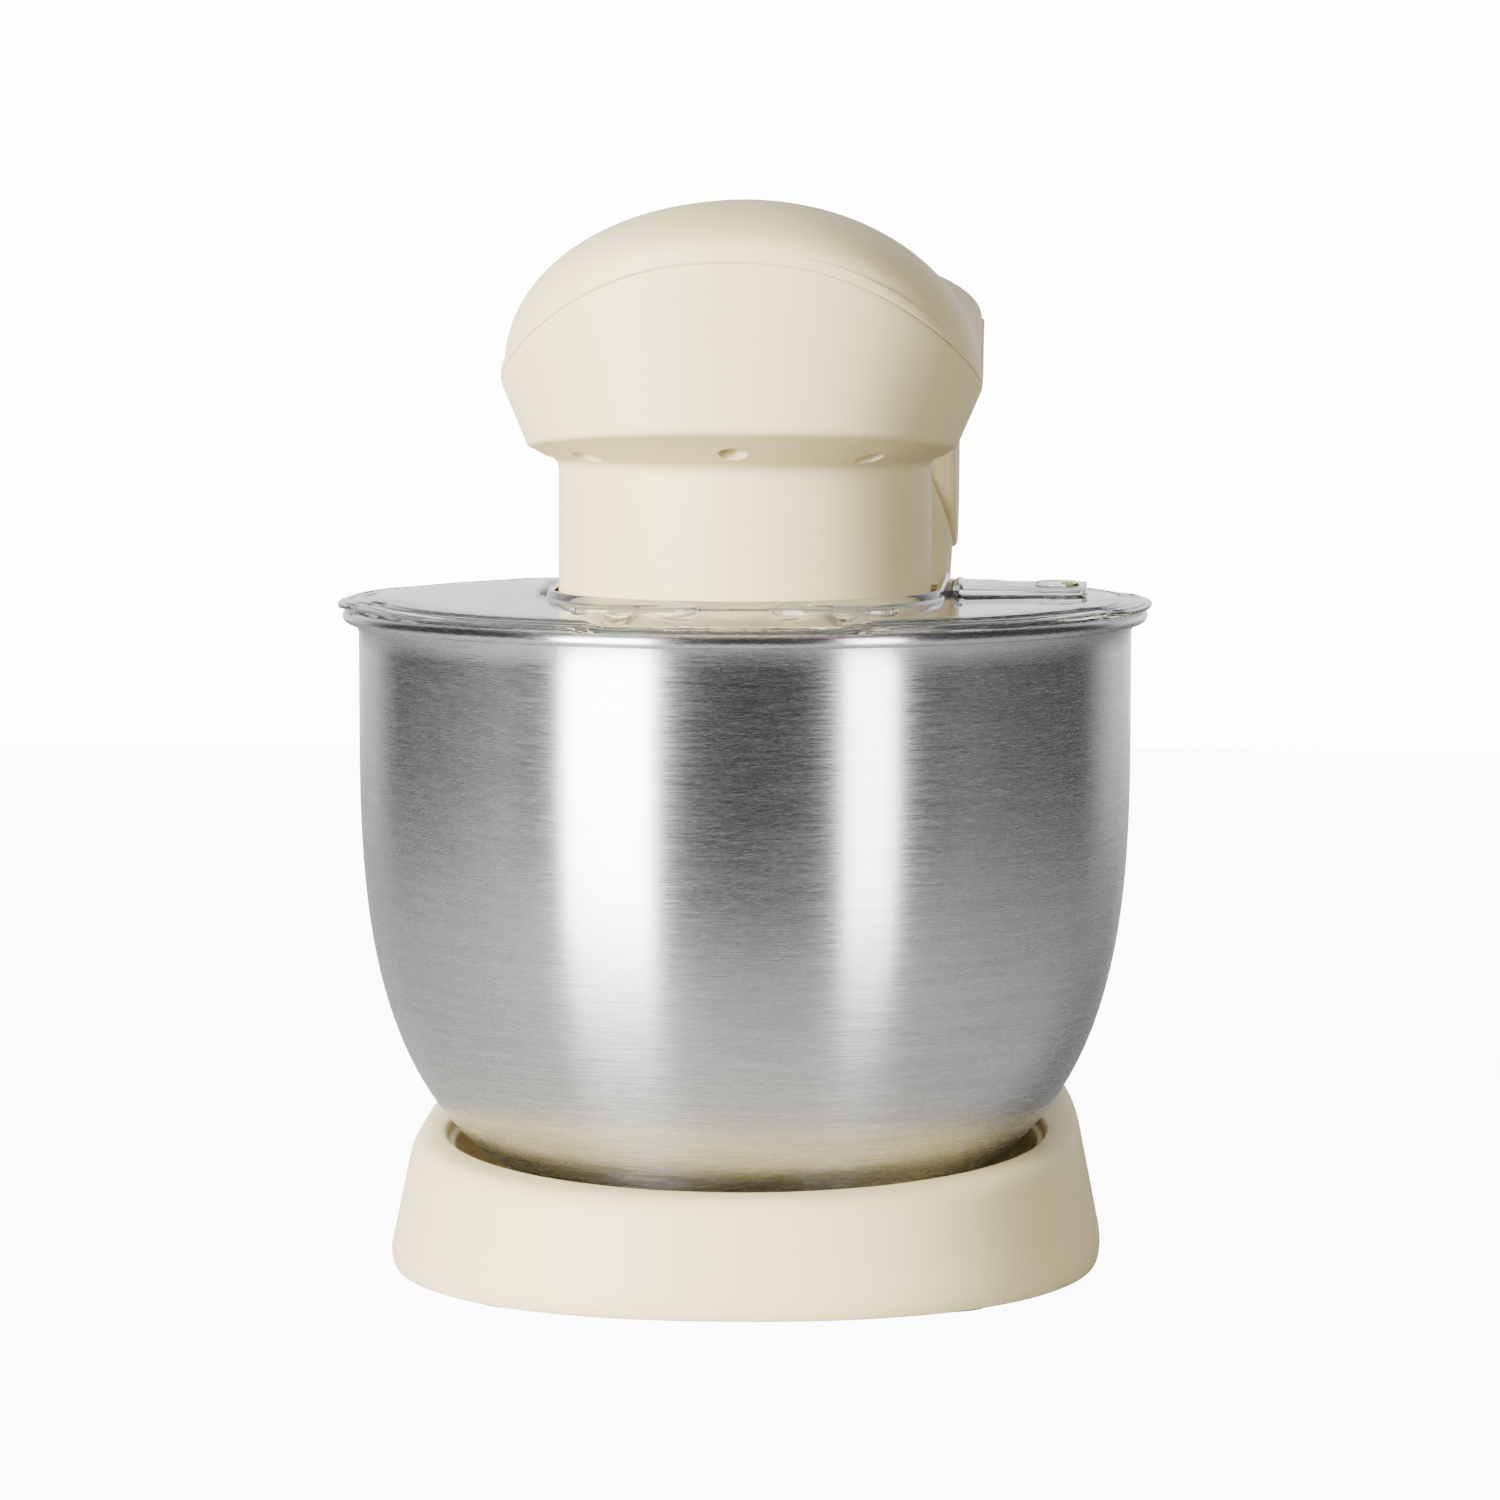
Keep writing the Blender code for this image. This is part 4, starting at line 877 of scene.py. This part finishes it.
def guard_section(share):
    """One closed slice of the guard, from the slot out to the rim and back underneath.

    The bead and the rim keep their size where there is room, and shrink towards the ends.
    """
    inner, outer = Vector(slot_edge(share)), Vector(outer_edge(share))
    width = (outer - inner).length
    full_width = 22
    scale = min(1.0, width / full_width)
    t, b = guard_top, guard_top - guard_gauge
    top = [(0.0, b + 0.3), (0.0, t + 1.9), (0.5, t + 2.4), (1.5, t + 2.4), (2.0, t + 1.8),
           (2.4, t + 0.5), (3.2, t), (8.0, t)]
    flat = [("mid", 0.3, t), ("mid", 0.5, t), ("mid", 0.7, t)]
    rim = [(-10.4, t), (-9.8, t - 0.1), (-9.3, t - 0.7), (-7.0, t - 0.8), (-6.5, t - 0.3),
           (-5.6, t - 0.2), (-5.1, t - 0.8), (-3.4, t - 0.9), (-2.9, t - 0.4), (-2.0, t - 0.4),
           (-1.4, t - 0.9), (-0.2, t - 1.0), (0.0, t - 1.3), (-0.2, t - 2.0), (-6.0, t - 2.1),
           (-6.4, t - 2.4), (-7.0, 181.0), (-7.4, 180.4), (-8.0, 180.4), (-8.3, 181.0),
           (-8.6, t - 3.0), (-9.4, b)]
    flat_under = [("mid", 0.7, b), ("mid", 0.5, b), ("mid", 0.3, b)]
    points = []
    for spot in top + flat + rim + flat_under + [(2.4, b), (0.6, b)]:
        if spot[0] == "mid":
            along, z = width * spot[1], spot[2]
        else:
            along, z = spot[0] * scale, spot[1]
            if spot in rim:
                along += width
        z = t - 0.8 + (z - t + 0.8) * max(scale, 0.3)
        place = inner + (outer - inner).normalized() * along
        front = smooth_step(-place.y, 66, 74)
        tray = front * smooth_step(36.5 - abs(place.x), -1.5, 4.0)
        inside = smooth_step(106.0 - place.length, -2.0, 8.0)
        points.append((place.x, bowl_y + place.y, z - tray * (0.5 + 4.0 * inside) *
                       (z > 182)))
    return points


guard = looped("splash_guard_disc", [guard_section(0.006 + 0.988 * step / 300)
                                     for step in range(301)], False, 40)
frame_outline = [(hatch_low.x - 1.6, hatch_low.y - 1.6), (hatch_high.x + 1.6, hatch_low.y - 1.6),
                 (hatch_high.x + 1.6, hatch_high.y + 1.6), (hatch_low.x - 1.6, hatch_high.y + 1.6)]


def plate(name, outline, corner, low, high, edge=0.3):
    """A flat plate with rounded corners and soft upper and lower edges."""
    closed = [outline[-1]] + outline + [outline[0]]
    plan = soften(closed, corner, 6)[1:-1]
    middle = Vector((sum(x for x, y in plan), sum(y for x, y in plan))) / len(plan)
    rings = []
    for inset, z in ((edge, low), (edge * 0.3, low + edge * 0.3), (0, low + edge),
                     (0, high - edge), (edge * 0.3, high - edge * 0.3), (edge, high)):
        ring = []
        for x, y in plan:
            way = Vector((x, y)) - middle
            ring.append((x - math.copysign(inset, way.x), y - math.copysign(inset, way.y), z))
        rings.append(ring)
    return looped(name, rings, False, 40)


hatch_frame = plate("frame", frame_outline, 3.0, 187.2, 190.65)
hatch_hole = block((hatch_low.x, hatch_low.y, 180), (hatch_high.x, hatch_high.y, 196))
loop_length, loop_width = 17.0, 6.4
finger_loops = []
for side in (-1, 1):
    rings = []
    for step in range(96):
        way = math.radians(3.75 * step)
        across = Vector((loop_length * math.cos(way), loop_width * math.sin(way), 0))
        out = Vector((loop_width * math.cos(way), loop_length * math.sin(way), 0)).normalized()
        middle = Vector((27.0 * side, bowl_y - 58.0, guard_top + 0.2)) + across
        rings.append([middle + 1.0 * (math.cos(math.radians(30 * spoke)) * out
                                      + math.sin(math.radians(30 * spoke)) * Vector((0, 0, 1)))
                      for spoke in range(12)])
    finger_loops.append(looped("loop", rings, sharp=60))
cut_away(guard, hatch_frame, *finger_loops, operation="UNION")
cut_away(guard, hatch_hole)
fit(guard, "head", "clear_plastic", clear, "splash_guard")

rail = bar_row("slot_ribs_right", 21, (0, 2.4, 0), (4.2, 1.1, 1.5), clear)
rail_twin = twin(rail, "slot_ribs_left")
rail.data.transform(moved(slot_half + 3.9, bowl_y + 10, guard_top + 0.7))
rail_twin.data.transform(moved(-slot_half - 3.9, bowl_y + 10, guard_top + 0.7))
tray_left = bar_row("tray_ribs_left", 4, (4.6, 0, 0), (1.1, 26.0, 1.6), clear)
tray_right = twin(tray_left, "tray_ribs_right")
tray_left.data.transform(moved(-19.0, bowl_y - 84, guard_top - 3.8))
tray_right.data.transform(moved(3.8, bowl_y - 84, guard_top - 3.8))
for rib_piece in (rail, rail_twin, tray_left, tray_right):
    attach(rib_piece, "head")

# ---- Filler flap
# The same clear plastic. The flap lies over the hatch in the guard, turns on a roll along
# its inner edge, and has a thumb lip.

flap_outline = [(flap_low.x + 1.6, flap_low.y), (flap_high.x, flap_low.y),
                (flap_high.x, flap_high.y), (flap_low.x + 1.6, flap_high.y)]
flap = plate("filler_flap_lid", flap_outline, 3.0, flap_low.z + 0.05, flap_low.z + 1.55)
roll = turned("roll", soften([(0, flap_low.y + 4.6), (1.45, flap_low.y + 4.6),
                              (1.45, flap_high.y - 4.6), (0, flap_high.y - 4.6)], 0.4, 3),
              (flap_low.x + 1.5, 0, flap_high.z - 1.5), "Y", 40)
thumb = turned("thumb", [(0, flap_low.z + 1.2), (6.5, flap_low.z + 1.2),
                         (6.2, flap_high.z - 0.7), (5.6, flap_high.z - 0.2),
                         (4.6, flap_high.z - 0.5), (0, flap_high.z - 0.8)],
               (flap_high.x - 8.5, (flap_low.y + flap_high.y) / 2, 0))
cut_away(flap, roll, thumb, operation="UNION")
fit(flap, "flap", "clear_plastic", clear, "filler_flap")

# ---- Tilt hinge
# A die-cast bracket with two upright ears stands in the column, and one with two lugs is
# bolted in the head. A steel pin in brass bushes joins them, and a coil spring between the
# ears lifts the head when the catch lets go.

cast = Finish("die_cast_alloy", Metallic=1.0)
cast_cloud = cast.grain(5.0, 4)
cast_pits = cast.grain(0.7, 3)
cast.tint(cast_cloud, (0.36, 0.365, 0.37), (0.52, 0.525, 0.53))
cast.vary("Roughness", 0.42 + 0.2 * cast_pits)
cast.relief(cast_pits, 0.08, 0.6)
brass = Finish("turned_brass", Metallic=1.0)
brass_lines = brass.grain(0.4, 2)
brass.tint(brass.grain(6.0, 3), (0.62, 0.44, 0.17), (0.75, 0.56, 0.26))
brass.vary("Roughness", 0.22 + 0.16 * brass_lines)
brass.relief(brass_lines, 0.015, 0.5)
dress(cast, "hinge_bracket", "head_bracket", "gearbox_housing", "motor_cradle", "latch_pawl")
dress(brass, "hinge_bush_left", "hinge_bush_right", "worm")


def coil(name, middle, radius, gauge, pitch, turns):
    """A wire coil along X, made as a smooth tube."""
    per_turn = 28
    curve = bpy.data.curves.new(name, "CURVE")
    curve.dimensions = "3D"
    curve.bevel_depth = gauge * MM
    curve.bevel_resolution = 5
    curve.use_fill_caps = True
    count = int(turns * per_turn) + 1
    wire = curve.splines.new("POLY")
    wire.points.add(count - 1)
    for step, point in enumerate(wire.points):
        way = 2 * math.pi * step / per_turn
        point.co = (*(Vector(middle) + Vector((pitch * (step / per_turn - turns / 2),
                                               radius * math.cos(way),
                                               radius * math.sin(way)))) * MM, 1)
    path = bpy.data.objects.new(name, curve)
    bpy.context.scene.collection.objects.link(path)
    bpy.context.view_layer.update()
    shape = bmesh.new()
    shape.from_mesh(path.evaluated_get(bpy.context.evaluated_depsgraph_get()).to_mesh())
    bpy.data.objects.remove(path, do_unlink=True)
    return mesh_piece(name, shape, 50)


lift_spring = coil("lift_spring", hinge_at, 6.8, 1.1, 4.2, 5)
fit(lift_spring, "stand", "bright_steel", bright, "tilt_spring")
catch_spring = coil("catch_spring", (-32, lever_at[1], lever_at[2]), 9.4, 0.9, 3.2, 4)
fit(catch_spring, "stand", "bright_steel", bright, "latch_spring")

# ---- Speed dial
# A cream knob with fine flutes and a pointer bar, on a steel spindle. It turns over a
# satin alloy bezel that carries thirteen plain speed marks.

bezel_low, bezel_high = box_mm("dial_bezel")
bezel_face = bezel_high.x
bezel_radius = (bezel_high.y - bezel_low.y) / 2
bezel = turned("dial_bezel_ring", soften([
    (8, bezel_low.x), (19.6, bezel_low.x), (19.6, 62.1), (bezel_radius, 62.1),
    (bezel_radius, 63.2), (bezel_radius - 0.7, bezel_face), (8, bezel_face),
    (8, bezel_low.x)], 0.3, 2), dial_at, "X", 128)
satin = Finish("satin_alloy", Metallic=1.0)
satin_cloud = satin.grain(0.5, 2)
satin.tint(satin.grain(10.0, 3), (0.5, 0.505, 0.51), (0.62, 0.625, 0.63))
satin.vary("Roughness", 0.3 + 0.14 * satin_cloud)
satin.relief(satin_cloud, 0.02, 0.4)
fit(bezel, "stand", "die_cast", satin, "dial_bezel")

grip_radius = (dial_high.y - dial_low.y) / 2
flutes = Recipe("grip_flutes", count=36, ring=(grip_radius - 0.9) * MM, rib=0.95 * MM,
                length=11.5 * MM, finish=cream.material)
flute_ring = flutes.node("GeometryNodeMeshCircle", {}, {
    "Vertices": flutes["count"], "Radius": flutes["ring"]})
flute = flutes.node("GeometryNodeMeshCylinder", {}, {
    "Vertices": 16, "Radius": flutes["rib"], "Depth": flutes["length"]}, "Mesh")
flute_row = flutes.node("GeometryNodeInstanceOnPoints", {}, {
    "Points": flute_ring, "Instance": flute})
grip = flutes.serve("grip", flute_row)
grip.data.transform(moved(71.4, *dial_at[1:]) @ Matrix.Rotation(math.pi / 2, 4, "Y"))
knob = turned("speed_knob", soften([
    (3.4, dial_low.x), (grip_radius - 0.9, dial_low.x), (grip_radius - 0.9, 78.4),
    (grip_radius - 3.2, dial_high.x), (grip_radius - 6.5, dial_high.x - 0.6),
    (0, dial_high.x - 0.9), (0, 74.0), (3.4, 74.0), (3.4, dial_low.x)], 0.8, 4), dial_at, "X",
    144)
pointer_at = dial_at[2] + grip_radius - 9.5
pointer = plate("pointer", [(-1.1, -5.6), (1.1, -5.6), (1.1, 5.6), (-1.1, 5.6)], 1.0,
                78.0, dial_high.x - 0.1)
pointer.data.transform(moved(0, dial_at[1], pointer_at) @ Matrix.Rotation(math.pi / 2, 4, "Y"))
cut_away(knob, grip, pointer, operation="UNION")
fit(knob, "dial", "cream_plastic", cream, "speed_dial")

marks = Recipe("speed_ticks", count=13, ring=(bezel_radius - 1.7) * MM,
               size=Vector((0.25, 0.45, 2.0)) * MM, finish=black.material)
mark_line = marks.node("GeometryNodeMeshLine", {}, {"Count": marks["count"]})
mark_index = marks.node("GeometryNodeInputIndex", {}, {})
mark_way = mark_index * math.radians(17.5)
mark_spot = marks.node("ShaderNodeCombineXYZ", {}, {
    1: marks["ring"] * marks.node("ShaderNodeMath", {"operation": "SINE"}, {0: mark_way}) * -1,
    2: marks["ring"] * marks.node("ShaderNodeMath", {"operation": "COSINE"}, {0: mark_way})})
mark_points = marks.node("GeometryNodeSetPosition", {}, {
    "Geometry": mark_line, "Position": mark_spot})
mark_turn = marks.node("ShaderNodeCombineXYZ", {}, {0: mark_way})
mark_bar = marks.node("GeometryNodeMeshCube", {}, {"Size": marks["size"]})
mark_row = marks.node("GeometryNodeInstanceOnPoints", {}, {
    "Points": mark_points, "Instance": mark_bar, "Rotation": mark_turn})
ticks = marks.serve("speed_marks", mark_row, False)
ticks.data.transform(moved(bezel_face, *dial_at[1:]))
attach(ticks, "stand")

# ---- Release lever
# A cream paddle on a short shaft through the left of the column. Pressing it down turns
# the pawl inside and frees the head. Three grip ribs cross the end of the paddle.

paddle_tip = lever_low.y
paddle_left = lever_low.x
hub = turned("lever_hub", soften([(0, -61.0), (11.0, -61.0), (11.0, paddle_left),
                                  (0, paddle_left)], 1.6, 5), lever_at, "X", 96)
lever_shaft = turned("lever_shaft", soften([(0, -12.0), (7.6, -12.0), (7.6, -62.0), (0, -62)],
                                           0.4, 2), lever_at, "X", 64)
spigot = rod(3.0, -13, -5.0, lever_at, "X", 40)
tip = paddle_tip - lever_at[1]
paddle_plan = [(-5.2, 0), (-6.9, tip + 6), (-5.6, tip), (5.6, tip), (6.9, tip + 6), (5.2, 0)]
paddle = plate("paddle", paddle_plan, 3.5, -68.8, -62.6, 1.2)
paddle.data.transform(moved(*lever_at)
                      @ Matrix(((0, 0, 1, 0), (0, 1, 0, 0), (-1, 0, 0, 0), (0, 0, 0, 1))))
grips = [turned("grip", soften([(0, -5.0), (1.0, -5.0), (1.0, 5.0), (0, 5.0)], 0.7, 3),
                (-68.6, paddle_tip + 5 + 4 * row, lever_at[2]), "Z", 24) for row in range(3)]
cut_away(hub, paddle, lever_shaft, spigot, *grips, operation="UNION")
hub.name = "release_paddle"
fit(hub, "release", "cream_plastic", cream, "release_lever")

# ---- Switch and speed board
# A lacquered board stands in the column with its heat sink and capacitor, wired to the
# rotary switch behind the dial.

lacquer = Finish("lacquered_board", Roughness=0.35, IOR=1.5)
tracks = lacquer.node("ShaderNodeTexVoronoi", {"feature": "DISTANCE_TO_EDGE"}, {
    "Vector": lacquer.place, "Scale": 260.0}, "Distance")
track_mask = lacquer.node("ShaderNodeMapRange", {}, {
    "Value": tracks, "From Min": 0.04, "From Max": 0.1})
lacquer.tint(track_mask, (0.03, 0.2, 0.08), (0.015, 0.11, 0.045))
lacquer.vary("Roughness", 0.28 + 0.2 * track_mask)
lacquer.relief(track_mask, 0.04, 0.6)
dress(lacquer, "control_board")

# ---- Planetary drive and dough hook
# A die-cast hub turns in the mouth of the turret and carries the tool shaft off centre, so
# the tool swings round the bowl while it spins. The hook is one cast bar under a collar
# with a bayonet slot for the shaft's cross pin.

hub_low, hub_high = box_mm("planet_hub")
tool_at = (*joint_spot("tool_spin")[:2], 0)
hub_disc = turned("planetary_hub", soften([
    (0, hub_high.z), (6.1, hub_high.z), (6.1, 195), (48.4, 195), (49.0, 193.6),
    (49.0, 191.2), (47.8, hub_low.z), (40.0, hub_low.z), (38.8, 191.4), (36.6, 191.4),
    (35.4, hub_low.z), (0, hub_low.z)], 0.5, 3), bowl_at, steps=160)
tool_boss = turned("tool_boss", soften([(0, 194), (10, 194), (10, 198.5), (0, 198.5)], 0.5, 3),
                   tool_at, steps=64)
cut_away(hub_disc, tool_boss, operation="UNION")
cut_away(hub_disc, turned("bore", [(0, 188), (7.2, 188), (6.4, 191.2), (6.4, 202), (0, 202)],
                          tool_at, steps=64))
fit(hub_disc, "carrier", "die_cast", satin, "planet_hub")

shaft_low, shaft_high = box_mm("tool_shaft")
drive = turned("tool_spindle", soften([
    (0, shaft_high.z), (5.0, shaft_high.z), (5.0, shaft_low.z), (0, shaft_low.z)], 0.8, 4),
    tool_at, steps=64)
cross_pin = turned("cross_pin", soften([(0, -9), (1.6, -9), (1.6, 9), (0, 9)], 0.5, 3),
                   (tool_at[0], tool_at[1], 180), "X", 32)
cut_away(drive, cross_pin, operation="UNION")
fit(drive, "tool", "bright_steel", bright, "tool_shaft")

hook_high = box_mm("dough_hook")[1]
hook_rings = []
hook_steps = 90
hook_path = []
for step in range(hook_steps + 1):
    share = step / hook_steps
    swing = 30 * math.sin(math.pi * share ** 0.85) ** 1.15 * (1 - 0.25 * share)
    way = math.radians(150 * share - 40)
    hook_path.append(Vector((tool_at[0] + swing * math.cos(way),
                             tool_at[1] + swing * math.sin(way), 164 - share * 127.2)))
side = Vector((1, 0, 0))
for step, spot in enumerate(hook_path):
    ahead = (hook_path[min(step + 1, hook_steps)] - hook_path[max(step - 1, 0)]).normalized()
    side = (side - ahead * side.dot(ahead)).normalized()
    other = ahead.cross(side)
    tip = math.sqrt(min(1, (hook_steps - step + 0.35) / 5))
    thick = 4.5 * tip * (1 - 0.14 * step / hook_steps)
    hook_rings.append([tuple(spot + side * thick * math.cos(turn_by)
                             + other * thick * math.sin(turn_by))
                       for turn_by in (2 * math.pi * i / 28 for i in range(28))])
hook = looped("dough_hook_bar", hook_rings, False, 50)
collar = turned("collar", soften([
    (0, 160), (6.4, 160), (9.2, 166), (9.4, 171), (8.4, 172), (8.4, 174.5), (9.4, 175.5),
    (9.4, hook_high.z), (5.4, hook_high.z), (5.4, 172), (0, 172)], 0.7, 3), tool_at, steps=96)
cut_away(hook, collar, operation="UNION")
cut_away(hook, block((tool_at[0] - 12, tool_at[1] - 2.1, 177), (tool_at[0] + 12,
                                                               tool_at[1] + 2.1, 183)))
hook_alloy = Finish("tumbled_alloy", Metallic=1.0)
tumble = hook_alloy.grain(1.2, 4)
hook_alloy.tint(hook_alloy.grain(20.0, 3), (0.5, 0.505, 0.515), (0.63, 0.635, 0.64))
hook_alloy.vary("Roughness", 0.26 + 0.2 * tumble)
hook_alloy.relief(tumble, 0.05, 0.5)
fit(hook, "tool", "die_cast", hook_alloy, "dough_hook")

# ---- Motor
# A universal motor lies along the head: a stack of steel laminations, two wound field
# coils, an armature with its commutator and fan, carbon brushes, and a brass worm.

laminated = Finish("steel_laminations", Metallic=0.9)
layers = laminated.node("ShaderNodeTexWave", {
    "wave_type": "BANDS", "bands_direction": "Y", "wave_profile": "SIN"}, {
    "Vector": laminated.place, "Scale": 320.0, "Distortion": 0.2})
laminated.tint(layers, (0.12, 0.12, 0.125), (0.3, 0.3, 0.31))
laminated.vary("Roughness", 0.38 + 0.2 * layers)
laminated.relief(layers, 0.12, 0.8)
dress(laminated, "motor_stator", "armature_core")
copper = Finish("enamelled_copper", Metallic=0.85, Coat_Weight=0.4, Coat_Roughness=0.1)
strands = copper.node("ShaderNodeTexWave", {
    "wave_type": "BANDS", "bands_direction": "Z", "wave_profile": "SIN"}, {
    "Vector": copper.place, "Scale": 330.0, "Distortion": 0.6})
copper.tint(strands, (0.4, 0.13, 0.05), (0.66, 0.27, 0.12))
copper.vary("Roughness", 0.26 + 0.18 * strands)
copper.relief(strands, 0.2, 0.8)
dress(copper, "field_coil_upper", "field_coil_lower", "commutator")

# ---- Studio
# A plain pale table top in a white room, a soft key light from the left with a weak fill,
# and a tall strip on each side of the front that shows only as a reflection in the steel.


def soft_light(name, spot, aim, size, power, lit=True, mirrored=True):
    data = bpy.data.lights.new(name, "AREA")
    data.shape = "RECTANGLE"
    data.size, data.size_y = size
    data.energy = power
    lamp = bpy.data.objects.new(name, data)
    lamp.location = spot
    lamp.rotation_euler = (Vector(aim) - Vector(spot)).to_track_quat("-Z", "Y").to_euler()
    lamp.visible_camera = False
    lamp.visible_diffuse = lit
    lamp.visible_glossy = mirrored
    bpy.context.scene.collection.objects.link(lamp)


front_aim = (0, -0.044, 0.15)
strip_aim = (0, -0.044, 0.3)
soft_light("key", (-1.2, -1.4, 0.52), front_aim, (0.9, 0.9), 172, mirrored=False)
soft_light("fill", (1.3, -1.2, 0.7), front_aim, (0.9, 0.9), 14, mirrored=False)
soft_light("left_strip", (-1.11, -1.52, 0.3), strip_aim, (0.84, 2.2), 180, lit=False)
soft_light("right_strip", (1.19, -1.5, 0.3), strip_aim, (0.46, 2.2), 58, lit=False)
soft_light("overhead", (-0.3, 0.0, 1.8), (0, 0, 0.2), (1.6, 1.6), 3)

world = bpy.data.worlds.new("studio")
bpy.context.scene.world = world
world.use_nodes = True
world.node_tree.nodes.clear()
studio = Board(world.node_tree)
seen = studio.node("ShaderNodeLightPath", {}, {}, "Is Camera Ray")
way = studio.node("ShaderNodeTexCoord", {}, {}, "Generated")
back = studio.node("ShaderNodeMapRange", {"interpolation_type": "SMOOTHSTEP"}, {
    "Value": studio.node("ShaderNodeSeparateXYZ", {}, {0: way}, 1), "From Min": 0.5,
    "From Max": 0.95, "To Min": 0.08, "To Max": 1.8})
room = studio.node("ShaderNodeBackground", {}, {"Color": (0.97, 0.98, 1, 1), "Strength": back})
sweep = studio.node("ShaderNodeBackground", {}, {"Color": (1, 1, 1, 1), "Strength": 14.0})
both = studio.node("ShaderNodeMixShader", {}, {0: seen, 1: room, 2: sweep})
studio.node("ShaderNodeOutputWorld", {}, {"Surface": both}, None)

table_half = 1.0
table_front = -0.43
floor_shape = bmesh.new()
bmesh.ops.create_grid(floor_shape, x_segments=1, y_segments=1, size=table_half)
bmesh.ops.translate(floor_shape, vec=(0, table_front + table_half, -0.0004),
                    verts=floor_shape.verts)
floor = mesh_piece("floor", floor_shape)
floor_finish = Finish("floor_paint", Roughness=0.6, Emission_Strength=11.0)
floor_finish.tint(floor_finish.grain(400.0, 2), (0.5, 0.5, 0.5), (0.54, 0.54, 0.54))
floor_seen = floor_finish.node("ShaderNodeLightPath", {}, {}, "Is Camera Ray")
floor_finish.vary("Emission Color", floor_finish.node("ShaderNodeMix", {"data_type": "RGBA"}, {
    "Factor_Float": floor_seen, "A_Color": (0, 0, 0, 1), "B_Color": (1, 1, 1, 1)},
    "Result_Color"))
floor.data.materials.append(floor_finish.material)

camera_data = bpy.data.cameras.new("front_camera")
focal_widths = 6212 / 1500
camera_data.sensor_width = 36.0
camera_data.lens = camera_data.sensor_width * focal_widths
camera = bpy.data.objects.new("front_camera", camera_data)
camera_turn = math.radians(3.0)
camera_distance = 1.75
axis_y = bowl_y * MM
camera.location = (camera_distance * math.sin(camera_turn),
                   axis_y - camera_distance * math.cos(camera_turn), 0.308)
aim = Vector((0.0014, axis_y, 0.147))
camera.rotation_euler = (aim - camera.location).to_track_quat("-Z", "Y").to_euler()
bpy.context.scene.collection.objects.link(camera)
bpy.context.scene.camera = camera
